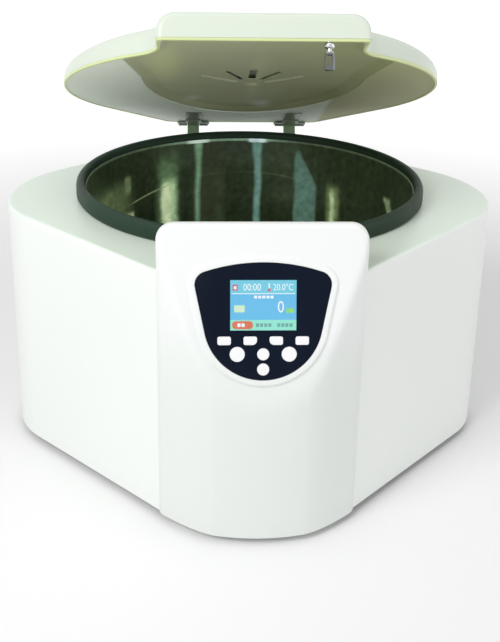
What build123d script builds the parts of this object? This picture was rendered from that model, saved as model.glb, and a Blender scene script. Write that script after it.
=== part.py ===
from build123d import *
from math import atan, cos, degrees, hypot, radians, sin, tan
import os

# A low-speed bench centrifuge, in millimetres. X runs across the front, +Y to the back, +Z up.
# Every size is measured from the bowl's axis and from the floor. At the end the pieces are moved
# along Y, so that the origin lies on the floor under the middle of the whole machine.

# Casing: a rounded diamond in plan, with one corner to the front
casing_side_room = 73.5
casing_bottom = 8.0
casing_wall = 3.0
deck_height = 277.5
front_slope = 1.104
nose_room = 57.0
nose_slant = 104.0
side_front_radius = 100.0
side_rear_radius = 140.0
rear_room = 33.0
rear_half_width = 64.0
rear_slope = 0.9
rear_corner_radius = 25.0
deck_edge_radius = 3.0
base_thickness = 3.0
base_height = 10.0

# Feet
foot_radius = 20.0
foot_spread_x = 150.0
foot_spread_y = 115.0
foot_taper = 3.0

# Bowl, its seal and the guard barrel around it
bowl_radius = 185.0
bowl_wall = 1.5
bowl_corner_radius = 40.0
bowl_rise = 11.0
bowl_flange = 8.0
bowl_motor_gap = 7.0
dome_radius = 54.0
dome_height = 62.0
dome_edge_radius = 8.0
boot_radius = 22.0
boot_wall = 8.0
boot_height = 12.5
seal_width = 11.4
seal_crest = 8.0
guard_wall = 5.0
guard_gap = 5.5
guard_top_gap = 12.5

# Drive
damper_radius = 14.0
damper_height = 25.0
damper_circle = 88.0
damper_count = 4
motor_plate_radius = 108.0
motor_plate_thickness = 6.0
motor_radius = 72.0
motor_height = 36.0
motor_wall = 8.0
motor_neck_radius = 46.0
stator_inner_radius = 38.0
core_gap = 1.0
shaft_radius = 9.0
shaft_clearance = 0.05
bearing_radius = 20.0
bearing_width = 10.0
spindle_radius = 12.0
spindle_taper = 3.0
stud_radius = 5.0

# Rotor head and swing-out buckets
head_pin_edge = 17.0
head_thickness = 24.0
head_gap = 8.0
notch_half_width = 36.0
notch_gap = 5.5
pin_radius = 5.0
pin_reach = 6.0
pin_seat = 18.0
pin_clearance = 0.05
bucket_half_width = 34.5
bucket_corner_radius = 14.0
bucket_below = 69.0
bucket_above = 16.0
bucket_swing_gap = 21.0
bucket_bore_radius = 28.0
bucket_floor = 5.0
bucket_edge_radius = 4.0
lightening_radius = 12.0
lightening_edge = 23.0
lightening_depth = 3.0
nut_radius = 16.0
nut_height = 20.0
bucket_count = 4

# Console at the front corner, and its tilted control panel
console_stand = 45.0
console_half_width = 102.0
console_overlap = 16.0
console_rise = 47.0
console_wall = 3.0
console_bow = 8.0
console_facet_x = 52.0
console_facet_depth = 41.0
console_crease_radius = 25.0
console_edge_radius = 7.0
console_corner_radius = 18.0
console_crest_radius = 5.0
console_face_height = 168.1
panel_tilt = 18.0
console_gap = 0.3
board_notch_half_width = 48.0
board_notch_lift = 38.6
board_notch_depth = 11.0

# Control panel, measured up the tilted face from the knee
lobe_radius = 56.8
lobe_height = 84.8
panel_flare = 11.7
panel_top = 140.3
panel_crown_radius = 181.0
panel_corner_radius = 12.5
panel_thickness = 2.2
panel_lip = 0.8
lip_width = 6.5
lip_radius = 2.2
panel_ledge = 3.0
screen_width = 63.0
screen_height = 48.0
screen_centre = 99.8
screen_window_thickness = 1.2
display_border = 4.0
display_depth = 12.0
board_thickness = 1.6
board_half_width = 42.5
board_bottom = 38.0
board_top = 124.0

# Keys
key_proud = 0.8
key_travel = 0.9
key_gap = 0.3
key_flange = 1.0
key_flange_thickness = 1.2
key_width = 12.9
key_height = 8.2
key_round = 2.0
key_cut = 4.5
menu_key_count = 4
key_row = 66.0
key_pitch = 24.8
large_key_radius = 7.2
large_key_spread = 24.8
round_key_row = 53.0
small_key_radius = 5.8
small_key_drop = 14.6
switch_size = 6.0
switch_gap = 0.25

# Lid, drawn closed
lid_lift = 20.0
lid_overhang = 22.0
lid_front_gap = 2.0
lid_tab_half_width = 100.0
lid_rear_gap = 6.0
lid_rear_half_width = 95.0
lid_rear_blend_x = 155.0
lid_rear_corner_radius = 20.0
lid_tab_fillet = 22.0
lid_tab_corner_radius = 5.0
lid_band_height = 17.5
lid_band_radius = 9.0
lid_wall = 3.0
hump_height = 25.5
hump_back = 120.0
hump_side_radius = 17.0
hump_spread = 1.0
liner_thickness = 1.2
dish_depth = 8.0
dish_rim = 7.0
dish_side_margin = 87.0
dish_back_margin = 55.0
dish_waist = 60.0
dish_flare = 0.18
dish_corner_radius = 25.0
dish_front_radius = 12.0
vent_count = 5
vent_step = 24.0
vent_inner = 26.0
vent_outer = 77.0
vent_width = 6.5
vent_centre_y = 9.0
vent_hub_radius = 11.0
vent_hub_height = 2.0
lid_open = 24.0

# Hinges
hinge_setback = 2.0
hinge_rise = 2.0
hinge_spread = 63.0
hinge_barrel_radius = 5.7
hinge_pin_radius = 2.5
hinge_pin_head_radius = 4.0
hinge_pin_head_height = 1.25
hinge_clearance = 0.05
hinge_barrel_half = 19.0
hinge_strap_half = 7.5
hinge_side_gap = 0.4
leaf_half = 10.0
leaf_length = 22.0
leaf_thickness = 2.0
leaf_tongue_length = 49.0
leaf_tongue_thickness = 0.6
leaf_gap = 7.0
bracket_foot_half = 12.0
bracket_foot_depth = 16.0
bracket_foot_thickness = 3.0
bracket_strap_thickness = 5.0
bracket_strap_setback = 6.0
bracket_toe_length = 6.0

# Lid lock
striker_x = 61.0
striker_setback = 7.0
striker_stud_radius = 4.5
striker_stud_height = 6.0
striker_width = 10.0
striker_length = 20.0
striker_thickness = 2.5
striker_corner_radius = 3.0
striker_window_width = 6.0
striker_window_height = 11.0
striker_slot_gap = 3.0
bolt_radius = 2.2
bolt_clearance = 0.05
bolt_setback = 1.5
bolt_reach = 0.45
bolt_grip = 0.3
lock_half_width = 11.0
lock_back_wall = 1.9
lock_height = 8.0
solenoid_radius = 3.9
solenoid_length = 24.0

# Rear connections
rear_plate_half_width = 52.0
rear_plate_bottom = 30.0
rear_plate_height = 80.0
rear_plate_thickness = 2.0
rear_plate_overlap = 5.0
inlet_x = -26.0
inlet_width = 27.0
inlet_height = 20.0
inlet_rim = 3.5
inlet_depth = 24.0
inlet_flange = 2.5
inlet_wall = 1.5
inlet_well_depth = 17.0
inlet_pin_setback = 4.0
inlet_pin_width = 2.0
inlet_pin_height = 4.0
inlet_pin_spread = 7.0
fuse_x = 4.0
fuse_radius = 6.3
fuse_cap_radius = 8.5
fuse_cap_height = 8.0
fuse_length = 30.0
fuse_slot_length = 12.0
fuse_slot_width = 2.0
fuse_slot_depth = 1.5
switch_x = 32.0
rocker_half_width = 7.5
rocker_radius = 12.5
rocker_angle = 8.0
rocker_gap = 0.5
rocker_frame_rim = 3.0
rocker_rim_thickness = 2.0
rocker_frame_wall = 1.5
rocker_frame_depth = 22.0
rocker_proud = 3.0
rear_screw_radius = 3.6
rear_screw_height = 2.4
rear_screw_edge = 1.0

# Electronics in the side corners of the casing
unit_guard_gap = 7.0
unit_side_gap = 18.5
unit_front_gap = 21.8
unit_rear_gap = 42.8
drive_unit_height = 95.0
power_unit_height = 60.0
fin_count = 7
fin_thickness = 2.5
fin_depth = 14.0

# Vents in the rear walls
vent_slot_count = 6
vent_slot_length = 60.0
vent_slot_height = 4.0
vent_slot_pitch = 11.0
vent_slot_bottom = 40.0

base_top = base_height + base_thickness
deck_underside = deck_height - casing_wall
rim_height = deck_height + bowl_rise
plate_top = base_top + damper_height + motor_plate_thickness
bowl_floor = plate_top + motor_height + bowl_motor_gap + bowl_wall
dome_top = bowl_floor + dome_height
neck_top = dome_top - boot_height
guard_radius = bowl_radius + bowl_wall + guard_gap + guard_wall
guard_top = deck_underside - guard_top_gap
casing_half_width = guard_radius + casing_side_room
nose_depth = guard_radius + nose_room
front_apex = nose_depth + nose_slant
rear_depth = guard_radius + rear_room
pin_circle = bowl_radius - bucket_below - bucket_swing_gap
head_radius = pin_circle + head_pin_edge
notch_inner = pin_circle - bucket_half_width - notch_gap
lightening_circle = head_radius - lightening_edge
head_bottom = dome_top + head_gap
head_top = head_bottom + head_thickness
pin_height = (head_bottom + head_top) / 2
console_reach = nose_depth + console_stand
console_back = nose_depth - console_overlap
console_top = deck_height + console_rise
knee_height = console_top - console_face_height
lid_underside = deck_height + lid_lift
lid_radius = bowl_radius + lid_overhang
lid_front = console_back - lid_front_gap
dish_half_width = lid_radius - dish_side_margin
dish_back = lid_radius - dish_back_margin
hinge_y = rear_depth - hinge_setback
hinge_z = lid_underside + hinge_rise
lid_rear = hinge_y - lid_rear_gap
bracket_strap_back = hinge_y - bracket_strap_setback
bracket_foot_back = bracket_strap_back - bracket_toe_length
striker_y = striker_setback - console_back
unit_inner = guard_radius + unit_guard_gap
unit_outer = casing_half_width - unit_side_gap
unit_front = front_slope * unit_outer - front_apex + unit_front_gap
unit_back = rear_depth - rear_slope * (unit_outer - rear_half_width) - unit_rear_gap
bolt_travel = striker_y + striker_thickness / 2 + bolt_reach + console_back + bolt_setback
bolt_length = bolt_travel + console_wall - bolt_setback + bolt_grip
lock_depth = bolt_length + bolt_setback - console_wall + lock_back_wall
panel_lean = radians(panel_tilt)
panel_plane = Plane(
    origin=(0, -console_reach, knee_height),
    x_dir=(1, 0, 0),
    z_dir=(0, -cos(panel_lean), sin(panel_lean)),
)
rise = (Align.CENTER, Align.CENTER, Align.MIN)


def block(x_span, y_span, z_span):
    # A box between two values on each axis
    (x0, x1), (y0, y1), (z0, z1) = x_span, y_span, z_span
    return Pos(x0, y0, z0) * Box(x1 - x0, y1 - y0, z1 - z0, align=(Align.MIN,) * 3)


def rod(radius, low, high, x=0.0, y=0.0):
    # An upright cylinder between two heights
    return Pos(x, y, low) * Cylinder(radius, high - low, align=rise)


def tube(outer, inner, low, high, x=0.0, y=0.0):
    return rod(outer, low, high, x, y) - rod(inner, low, high, x, y)


def prism(face, low, high):
    # An upright prism on a flat outline
    return Pos(0, 0, low) * extrude(face, amount=high - low, dir=(0, 0, 1))


def round_near(face, corners, radius):
    # Rounds the corners of an outline that lie nearest to the given points
    picked = [min(face.vertices(), key=lambda v: hypot(v.X - x, v.Y - y)) for x, y in corners]
    return fillet(picked, radius)


def mirrored(points):
    return points + [(-x, y) for x, y in reversed(points)]


def both_sides(x, y):
    return [(x, y), (-x, y)]


def casing_outline():
    nose_half = (front_apex - nose_depth) / front_slope
    front_y = front_slope * casing_half_width - front_apex
    rear_y = rear_depth - rear_slope * (casing_half_width - rear_half_width)
    right = [
        (nose_half, -nose_depth),
        (casing_half_width, front_y),
        (casing_half_width, rear_y),
        (rear_half_width, rear_depth),
    ]
    face = make_face(Polyline(*mirrored(right), close=True))
    # The two side radii share the straight side between them, so together they may not exceed it
    front_length = side_front_radius * tan((radians(90) - atan(front_slope)) / 2)
    rear_length = side_rear_radius * tan((radians(90) - atan(rear_slope)) / 2)
    share = min(1.0, 0.98 * (rear_y - front_y) / (front_length + rear_length))
    face = round_near(face, both_sides(casing_half_width, front_y), side_front_radius * share)
    face = round_near(face, both_sides(casing_half_width, rear_y), side_rear_radius * share)
    return round_near(face, both_sides(rear_half_width, rear_depth), rear_corner_radius)


def make_casing():
    outline = casing_outline()
    outer = prism(outline, casing_bottom, deck_height)
    outer = fillet(outer.faces().sort_by(Axis.Z)[-1].edges(), min(deck_edge_radius, casing_wall))
    hollow = prism(offset(outline, -casing_wall), casing_bottom, deck_underside)
    shell = outer - hollow
    shell -= rod(bowl_radius + 2 * bowl_wall, deck_underside, deck_height)
    # Notch behind the console for the display and its board
    shell -= block(
        (-board_notch_half_width, board_notch_half_width),
        (-nose_depth, board_notch_depth - nose_depth),
        (knee_height + board_notch_lift, deck_height),
    )
    # Slot that the lid's striker drops into
    slot_x = striker_width / 2 + striker_slot_gap
    slot_y = striker_thickness / 2 + striker_slot_gap
    shell -= block(
        (striker_x - slot_x, striker_x + slot_x),
        (striker_y - slot_y, striker_y + slot_y),
        (deck_underside, deck_height),
    )
    # Opening behind the rear plate
    opening = rear_plate_half_width - rear_plate_overlap
    shell -= block(
        (-opening, opening),
        (rear_depth - casing_wall, rear_depth),
        (rear_plate_bottom + rear_plate_overlap, rear_plate_bottom + rear_plate_height - rear_plate_overlap),
    )
    for slot in vent_slots():
        shell -= slot
    return shell


def vent_slots():
    # Rows of slots through both rear walls, half way along each
    corner_y = rear_depth - rear_slope * (casing_half_width - rear_half_width)
    centre_x = (rear_half_width + casing_half_width) / 2
    centre_y = (rear_depth + corner_y) / 2
    angle = -atan(rear_slope)
    slots = []
    for side in (1, -1):
        for row in range(vent_slot_count):
            z = vent_slot_bottom + row * vent_slot_pitch
            slot = Box(vent_slot_length, 4 * casing_wall, vent_slot_height)
            slots.append(Pos(side * centre_x, centre_y, z) * Rot(0, 0, side * degrees(angle)) * slot)
    return slots


def make_base():
    return prism(offset(casing_outline(), -casing_wall), base_height, base_top)


def make_feet():
    feet = []
    for x in (-foot_spread_x, foot_spread_x):
        for y in (-foot_spread_y, foot_spread_y):
            cone = Cone(foot_radius - foot_taper, foot_radius, base_height, align=rise)
            feet.append(Pos(x, y, 0) * cone)
    return Compound(feet)


def make_bowl():
    outer = rod(bowl_radius + bowl_wall, bowl_floor - bowl_wall, rim_height)
    outer = fillet(outer.edges().sort_by(Axis.Z)[0], bowl_corner_radius + bowl_wall)
    cavity = rod(bowl_radius, bowl_floor, rim_height)
    cavity = fillet(cavity.edges().sort_by(Axis.Z)[0], bowl_corner_radius)
    dome = rod(dome_radius, bowl_floor - bowl_wall, dome_top)
    dome = fillet(dome.edges().sort_by(Axis.Z)[-1], dome_edge_radius)
    hollow = rod(dome_radius - bowl_wall, bowl_floor - bowl_wall, dome_top - bowl_wall)
    hollow = fillet(hollow.edges().sort_by(Axis.Z)[-1], dome_edge_radius - bowl_wall)
    flange_radius = bowl_radius + bowl_wall + bowl_flange
    flange = tube(flange_radius, bowl_radius, deck_height, deck_height + bowl_wall)
    bowl = outer - cavity + dome + flange
    return bowl - hollow - rod(boot_radius, dome_top - bowl_wall, dome_top)


def make_seal():
    # A rubber bead over the bowl's rim: a square foot with a domed crest, turned about the axis
    inner = bowl_radius + bowl_wall
    outer = bowl_radius + seal_width
    foot = deck_height + bowl_wall
    crest = (bowl_radius + outer) / 2
    section = make_face([
        Line((inner, foot), (outer, foot)),
        Line((outer, foot), (outer, rim_height)),
        ThreePointArc((outer, rim_height), (crest, rim_height + seal_crest), (bowl_radius, rim_height)),
        Line((bowl_radius, rim_height), (inner, rim_height)),
        Line((inner, rim_height), (inner, foot)),
    ])
    return revolve(Plane.XZ * section, axis=Axis.Z)


def make_guard():
    return tube(guard_radius, guard_radius - guard_wall, base_top, guard_top)


def around(count, radius, start=0.0):
    # Places on a circle about the bowl's axis
    return [Rot(0, 0, start + turn * 360 / count) * Pos(radius, 0, 0) for turn in range(count)]


def make_dampers():
    damper = rod(damper_radius, base_top, base_top + damper_height)
    return Compound([place * damper for place in around(damper_count, damper_circle, 180 / damper_count)])


def make_motor_plate():
    low = base_top + damper_height
    return tube(motor_plate_radius, bearing_radius, low, low + motor_plate_thickness)


def make_motor_housing():
    low = plate_top
    middle = low + motor_height
    housing = rod(motor_radius, low, middle) + rod(motor_neck_radius, middle, neck_top)
    housing -= rod(motor_radius - motor_wall, low, middle - motor_wall)
    housing -= rod(shaft_radius + core_gap, middle - motor_wall, neck_top)
    return housing - rod(bearing_radius, neck_top - bearing_width, neck_top)


def make_stator():
    high = plate_top + motor_height - motor_wall
    return tube(motor_radius - motor_wall, stator_inner_radius, plate_top, high)


def make_core():
    low = plate_top + core_gap
    high = plate_top + motor_height - motor_wall - core_gap
    return tube(stator_inner_radius - core_gap, shaft_radius, low, high)


def make_bearings():
    inner = shaft_radius + shaft_clearance
    upper = tube(bearing_radius, inner, neck_top - bearing_width, neck_top)
    low = plate_top - motor_plate_thickness
    lower = tube(bearing_radius, inner, low, low + motor_plate_thickness)
    return Compound([lower, upper])


def make_boot():
    return tube(boot_radius, boot_radius - boot_wall, neck_top, dome_top)


def spindle_cone():
    # The tapered top of the shaft, which the rotor head seats on
    cone = Cone(spindle_radius, spindle_radius - spindle_taper, head_thickness, align=rise)
    return Pos(0, 0, head_bottom) * cone


def make_shaft():
    low = plate_top - motor_plate_thickness - spindle_taper
    shaft = rod(shaft_radius, low, head_bottom)
    return shaft + spindle_cone() + rod(stud_radius, head_top, head_top + nut_height / 2)


def make_head():
    # A round plate with a notch for each bucket; what is left between the notches are the arms
    head = rod(head_radius, head_bottom, head_top)
    for place in around(bucket_count, 0):
        width = (-notch_half_width, notch_half_width)
        notch = block((notch_inner, 2 * head_radius), width, (head_bottom, head_top))
        head -= place * notch
    for place in around(bucket_count, lightening_circle, 180 / bucket_count):
        head -= place * rod(lightening_radius, head_top - lightening_depth, head_top)
    for pin in head_pins():
        head -= pin
    return head - spindle_cone()


def head_pins():
    # Two pins for each bucket, one from each neighbouring arm, in line across the notch
    pins = []
    low = notch_half_width - pin_reach
    length = pin_reach + pin_seat
    for place in around(bucket_count, pin_circle):
        for side in (1, -1):
            centre = Pos(0, side * (low + length / 2), pin_height)
            pins.append(place * centre * Rot(90, 0, 0) * Cylinder(pin_radius, length))
    return pins


def make_nut():
    # A hexagon with a cone on top, screwed on the shaft's stud
    middle = nut_height / 2
    nut = extrude(RegularPolygon(nut_radius, 6), amount=middle, dir=(0, 0, 1))
    flat_radius = nut_radius * cos(radians(30))
    nut += Pos(0, 0, middle) * Cone(flat_radius, stud_radius, middle, align=rise)
    return Pos(0, 0, head_top) * (nut - rod(stud_radius, 0, middle))


def make_bucket():
    # Hangs on its two pins, with a slot up each side that drops over a pin
    low = pin_height - bucket_below
    high = pin_height + bucket_above
    outline = RectangleRounded(2 * bucket_half_width, 2 * bucket_half_width, bucket_corner_radius)
    bucket = prism(outline, low, high)
    bucket = fillet(bucket.faces().sort_by(Axis.Z)[0].edges(), min(bucket_edge_radius, bucket_floor))
    bucket -= rod(bucket_bore_radius, low + bucket_floor, high)
    slot_radius = pin_radius + pin_clearance
    slot_floor = notch_half_width - pin_reach - pin_clearance
    for side in (1, -1):
        near, far = sorted((side * slot_floor, side * notch_half_width))
        mid = (near + far) / 2
        bucket -= Pos(0, mid, pin_height) * Rot(90, 0, 0) * Cylinder(slot_radius, far - near)
        bucket -= block((-slot_radius, slot_radius), (near, far), (low, pin_height))
    return Pos(pin_circle, 0, 0) * bucket


def console_plan():
    facet_y = console_reach - console_bow
    side_y = facet_y - console_facet_depth
    bow = ThreePointArc((-console_facet_x, -facet_y), (0, -console_reach), (console_facet_x, -facet_y))
    right = [(console_facet_x, -facet_y), (console_half_width, -side_y), (console_half_width, -console_back)]
    rest = Polyline(*mirrored(right))
    face = make_face([bow, rest])
    face = round_near(face, both_sides(console_facet_x, -facet_y), console_crease_radius)
    return round_near(face, both_sides(console_half_width, -side_y), console_edge_radius)


def tilted_face_at(z, skin):
    # How far back the tilted face lies at a height, under a skin measured along Y
    return -console_reach + skin + (z - knee_height) * tan(panel_lean)


def console_side(inset):
    # Seen from the side: upright below the knee and tilted above it, with a rounded crest
    skin = inset / cos(panel_lean)
    low = casing_bottom + inset
    high = console_top - inset
    back = -console_back - inset
    front = -console_reach - console_wall
    foot = knee_height + (front + console_reach - skin) / tan(panel_lean)
    top = tilted_face_at(high, skin)
    points = [(back, low), (front, low), (front, foot), (top, high), (back, high)]
    # The crest's radius may take up no more than the flat top behind it
    room = 0.9 * (back - top) / tan((radians(90) - panel_lean) / 2)
    radius = min(console_crest_radius, room)
    return round_near(make_face(Polyline(*points, close=True)), [(top, high)], radius)


def console_front(inset):
    # Seen from the front: a tall rectangle with rounded upper corners
    width = console_half_width - inset
    low = casing_bottom + inset
    high = console_top - inset
    face = make_face(Polyline(*mirrored([(width, low), (width, high)]), close=True))
    return round_near(face, both_sides(width, high), console_corner_radius - inset)


def console_block(inset):
    plan = prism(offset(console_plan(), -inset) if inset else console_plan(), casing_bottom, console_top)
    side = extrude(Plane.YZ * console_side(inset), amount=console_half_width, dir=(1, 0, 0), both=True)
    reach = console_reach + console_wall
    front = Pos(0, -reach, 0) * extrude(Plane.XZ * console_front(inset), amount=reach, dir=(0, 1, 0))
    return plan & side & front


def panel_outline(margin=0.0):
    # A shield: a round lobe at the bottom, flaring sides, and a shallow crown on top
    flare = radians(panel_flare)
    x = lobe_radius * cos(flare)
    y = lobe_height - lobe_radius * sin(flare)
    up = panel_top - y + panel_corner_radius
    wedge = make_face(Polyline(*mirrored([(x, y), (x + up * tan(flare), y + up)]), close=True))
    lobe = Pos(0, lobe_height) * Circle(lobe_radius)
    crown = Pos(0, panel_top - panel_crown_radius) * Circle(panel_crown_radius)
    shield = (lobe + wedge) & crown
    corners = [shield.vertices().sort_by(Axis.X)[end] for end in (0, -1)]
    shield = fillet(corners, panel_corner_radius)
    return offset(shield, margin) if margin else shield


def on_panel(face, low, high):
    # A prism square to the tilted face, between two heights above it
    return panel_plane * Pos(0, 0, low) * extrude(face, amount=high - low, dir=(0, 0, 1))


def make_console():
    lip_top = panel_thickness + panel_lip
    lip = on_panel(panel_outline(lip_width), -console_wall, lip_top)
    lip = fillet(lip.faces().sort_by(Axis((0, 0, 0), panel_plane.z_dir))[-1].edges(), lip_radius)
    cover = console_block(0) + lip
    cover -= console_block(console_wall)
    cover -= on_panel(panel_outline(key_gap), 0, lip_top)
    cover -= on_panel(panel_outline(-panel_ledge), -2 * console_wall, 0)
    body = prism(offset(casing_outline(), console_gap), 0, deck_height)
    cover -= body
    bolt_z = striker_window_centre()
    hole = Cylinder(bolt_radius + bolt_clearance, 2 * console_wall)
    return cover - Pos(striker_x, -console_back - console_wall / 2, bolt_z) * Rot(90, 0, 0) * hole


def key_shapes():
    # Every key's name and outline: a row of four flat keys, two large round keys, two small ones
    shapes = {}
    for place in range(menu_key_count):
        x = (place - (menu_key_count - 1) / 2) * key_pitch
        face = RectangleRounded(key_width, key_height, key_round)
        if place in (1, 2):
            # The two middle keys have their inner lower corner cut round
            side = 1 if place == 1 else -1
            cut_x, cut_y = side * key_width / 2, -key_height / 2
            square = Pos(cut_x - side * key_cut / 2, cut_y + key_cut / 2) * Rectangle(key_cut, key_cut)
            quarter = Pos(cut_x - side * key_cut, cut_y + key_cut) * Circle(key_cut)
            face = (face - square) + (square & quarter)
        shapes[f"menu_key_{place + 1}"] = Pos(x, key_row) * face
    for side, name in ((-1, "left"), (1, "right")):
        shapes[f"round_key_{name}"] = Pos(side * large_key_spread, round_key_row) * Circle(large_key_radius)
    shapes["round_key_upper"] = Pos(0, round_key_row) * Circle(small_key_radius)
    shapes["round_key_lower"] = Pos(0, round_key_row - small_key_drop) * Circle(small_key_radius)
    return shapes


def make_key(face):
    # A cap that stands a little proud of the panel, with a flange behind the panel to hold it in
    cap = on_panel(face, -key_flange_thickness, panel_thickness + key_proud)
    flange = on_panel(offset(face, key_flange), -key_flange_thickness - key_gap, -key_gap)
    return cap + flange


def screen_face(border=0.0):
    return Pos(0, screen_centre) * Rectangle(screen_width + 2 * border, screen_height + 2 * border)


def make_panel():
    panel = on_panel(panel_outline(), 0, panel_thickness)
    panel -= on_panel(screen_face(), 0, panel_thickness)
    for face in key_shapes().values():
        panel -= on_panel(offset(face, key_gap), 0, panel_thickness)
    return panel


def make_window():
    return on_panel(screen_face(), panel_thickness - screen_window_thickness, panel_thickness)


def make_display():
    module = on_panel(screen_face(display_border), -display_depth, 0)
    raised = on_panel(screen_face(), 0, panel_thickness - screen_window_thickness)
    return module + raised


def make_board():
    middle = (board_bottom + board_top) / 2
    face = Pos(0, middle) * Rectangle(2 * board_half_width, board_top - board_bottom)
    face = face & panel_outline(-panel_ledge - key_gap)
    return on_panel(face, -display_depth - board_thickness, -display_depth)


def make_switches():
    top = -key_flange_thickness - key_gap - key_travel - switch_gap
    switches = []
    for face in key_shapes().values():
        x, y = face.center().X, face.center().Y
        square = Pos(x, y) * Rectangle(switch_size, switch_size)
        switches.append(on_panel(square, -display_depth, top))
    return Compound(switches)


def lid_outline():
    # A disc over the bowl, with a tab to the console in front and a straight edge at the hinges
    disc = Circle(lid_radius)
    tab = block_face(lid_tab_half_width, -lid_front, 0)
    tab = round_near(tab, both_sides(lid_tab_half_width, -lid_front), lid_tab_corner_radius)
    blend_y = (lid_radius ** 2 - lid_rear_blend_x ** 2) ** 0.5
    rear_points = [(lid_rear_blend_x, 0), (lid_rear_blend_x, blend_y), (lid_rear_half_width, lid_rear)]
    rear = make_face(Polyline(*mirrored(rear_points), close=True))
    rear = round_near(rear, both_sides(lid_rear_half_width, lid_rear), lid_rear_corner_radius)
    outline = disc + tab + rear
    meet_y = -((lid_radius ** 2 - lid_tab_half_width ** 2) ** 0.5)
    return round_near(outline, both_sides(lid_tab_half_width, meet_y), lid_tab_fillet)


def block_face(half_width, low, high):
    return Pos(0, (low + high) / 2) * Rectangle(2 * half_width, high - low)


def lid_form(inset):
    # The lid's outer form, or its hollow when inset by the wall: a low band all round, and a
    # raised hump from the tab back over the bowl
    outline = lid_outline()
    if inset:
        outline = offset(outline, -inset)
    low = lid_underside
    top = low + hump_height - inset
    band = prism(outline, low, low + lid_band_height - inset)
    band = fillet(band.faces().sort_by(Axis.Z)[-1].edges(), lid_band_radius - inset)
    half = lid_tab_half_width + hump_spread - inset
    end = make_face(Polyline(*mirrored([(half, low), (half, top)]), close=True))
    end = round_near(end, both_sides(half, top), hump_side_radius - inset)
    length = lid_front + hump_back - inset
    bar = Pos(0, -lid_front, 0) * extrude(Plane.XZ * end, amount=length, dir=(0, 1, 0))
    return band + (prism(outline, low, top) & bar)


def make_lid_shell():
    return lid_form(0) - lid_form(lid_wall)


def dish_outline(inset=0.0):
    # Half an ellipse behind the waist, sides that flare out ahead of it, and the lid's own outline
    # drawn in by the rim where they would pass it
    half = dish_half_width - inset
    length = dish_back + dish_waist - inset
    rim = dish_rim + inset
    flared = half + dish_flare * (lid_front - dish_waist)
    wedge = make_face(Polyline(*mirrored([(flared, -lid_front), (half, -dish_waist)]), close=True))
    oval = Ellipse(half, length) & block_face(half, 0, length)
    outline = (wedge + Pos(0, -dish_waist) * oval) & offset(lid_outline(), -rim)
    # Where a flared side, s ahead of the waist, meets the drawn-in disc: a s^2 + 2 b s + c = 0
    a = 1 + dish_flare ** 2
    b = dish_flare * half + dish_waist
    c = half ** 2 + dish_waist ** 2 - (lid_radius - rim) ** 2
    s = ((b * b - a * c) ** 0.5 - b) / a
    outline = round_near(outline, both_sides(half + dish_flare * s, -dish_waist - s), dish_corner_radius - inset)
    return round_near(outline, both_sides(lid_tab_half_width - rim, rim - lid_front), dish_front_radius - inset)


def make_liner():
    # A pressed sheet inside the lid's lip, with a shallow dish over the bowl and a fan of air slots
    low = lid_underside
    plate = prism(offset(lid_outline(), -lid_wall), low, low + liner_thickness)
    dish = prism(dish_outline(), low, low + dish_depth + liner_thickness)
    hollow = prism(dish_outline(liner_thickness), low, low + dish_depth)
    liner = plate + dish - hollow
    floor = low + dish_depth
    centre = Pos(0, vent_centre_y, 0)
    for step in range(vent_count):
        angle = -90 + (step - (vent_count - 1) / 2) * vent_step
        length = vent_outer - vent_inner
        slot = SlotOverall(length, vent_width)
        place = centre * Rot(0, 0, angle) * Pos((vent_inner + vent_outer) / 2, 0, 0)
        liner -= place * prism(slot, floor, floor + liner_thickness)
    hub = rod(vent_hub_radius, floor - vent_hub_height, floor)
    return liner + centre * hub


def hinge_places():
    return (-hinge_spread, hinge_spread)


def across(radius, x0, x1):
    # A cylinder along the hinge line between two places on X
    middle = Pos((x0 + x1) / 2, hinge_y, hinge_z)
    return middle * Rot(0, 90, 0) * Cylinder(radius, x1 - x0)


def make_leaves():
    leaves = []
    top = lid_underside
    low = top - leaf_thickness
    near = hinge_y - leaf_gap
    inner = hinge_strap_half + hinge_side_gap
    for x in hinge_places():
        leaf = block((x - leaf_half, x + leaf_half), (near - leaf_length, near), (low, top))
        leaf += block((x - hinge_barrel_half, x + hinge_barrel_half), (near - leaf_gap, near), (low, top))
        # A thin tongue under the lid's flange, which passes over the bowl's seal
        back = near - leaf_length
        thin = (top - leaf_tongue_thickness, top)
        leaf += block((x - leaf_half, x + leaf_half), (back - leaf_tongue_length, back), thin)
        for side in (1, -1):
            x0, x1 = sorted((x + side * inner, x + side * hinge_barrel_half))
            leaf += block((x0, x1), (near, hinge_y), (low, top))
            leaf += across(hinge_barrel_radius, x0, x1)
        end = hinge_barrel_half + hinge_pin_head_height
        leaves.append(leaf - across(hinge_pin_radius + hinge_clearance, x - end, x + end))
    return Compound(leaves)


def make_brackets():
    brackets = []
    radius = hinge_barrel_radius - hinge_side_gap / 2
    foot_top = deck_height + bracket_foot_thickness
    foot_front = bracket_foot_back - bracket_foot_depth
    for x in hinge_places():
        profile = Polyline(
            (bracket_strap_back - bracket_strap_thickness, deck_height),
            (bracket_strap_back, deck_height),
            (hinge_y + radius, hinge_z - radius / 2),
            (hinge_y, hinge_z),
            (hinge_y - radius / 2, hinge_z - radius),
            close=True,
        )
        strap = extrude(Plane.YZ * make_face(profile), amount=hinge_strap_half, dir=(1, 0, 0), both=True)
        tall = (deck_height, foot_top)
        toe = bracket_strap_back - bracket_strap_thickness / 2
        foot = block((-bracket_foot_half, bracket_foot_half), (foot_front, bracket_foot_back), tall)
        foot += block((-hinge_strap_half, hinge_strap_half), (bracket_foot_back, toe), tall)
        bracket = Pos(x, 0, 0) * (strap + foot)
        bracket += across(radius, x - hinge_strap_half, x + hinge_strap_half)
        brackets.append(bracket - across(hinge_pin_radius, x - hinge_strap_half, x + hinge_strap_half))
    return Compound(brackets)


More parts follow.
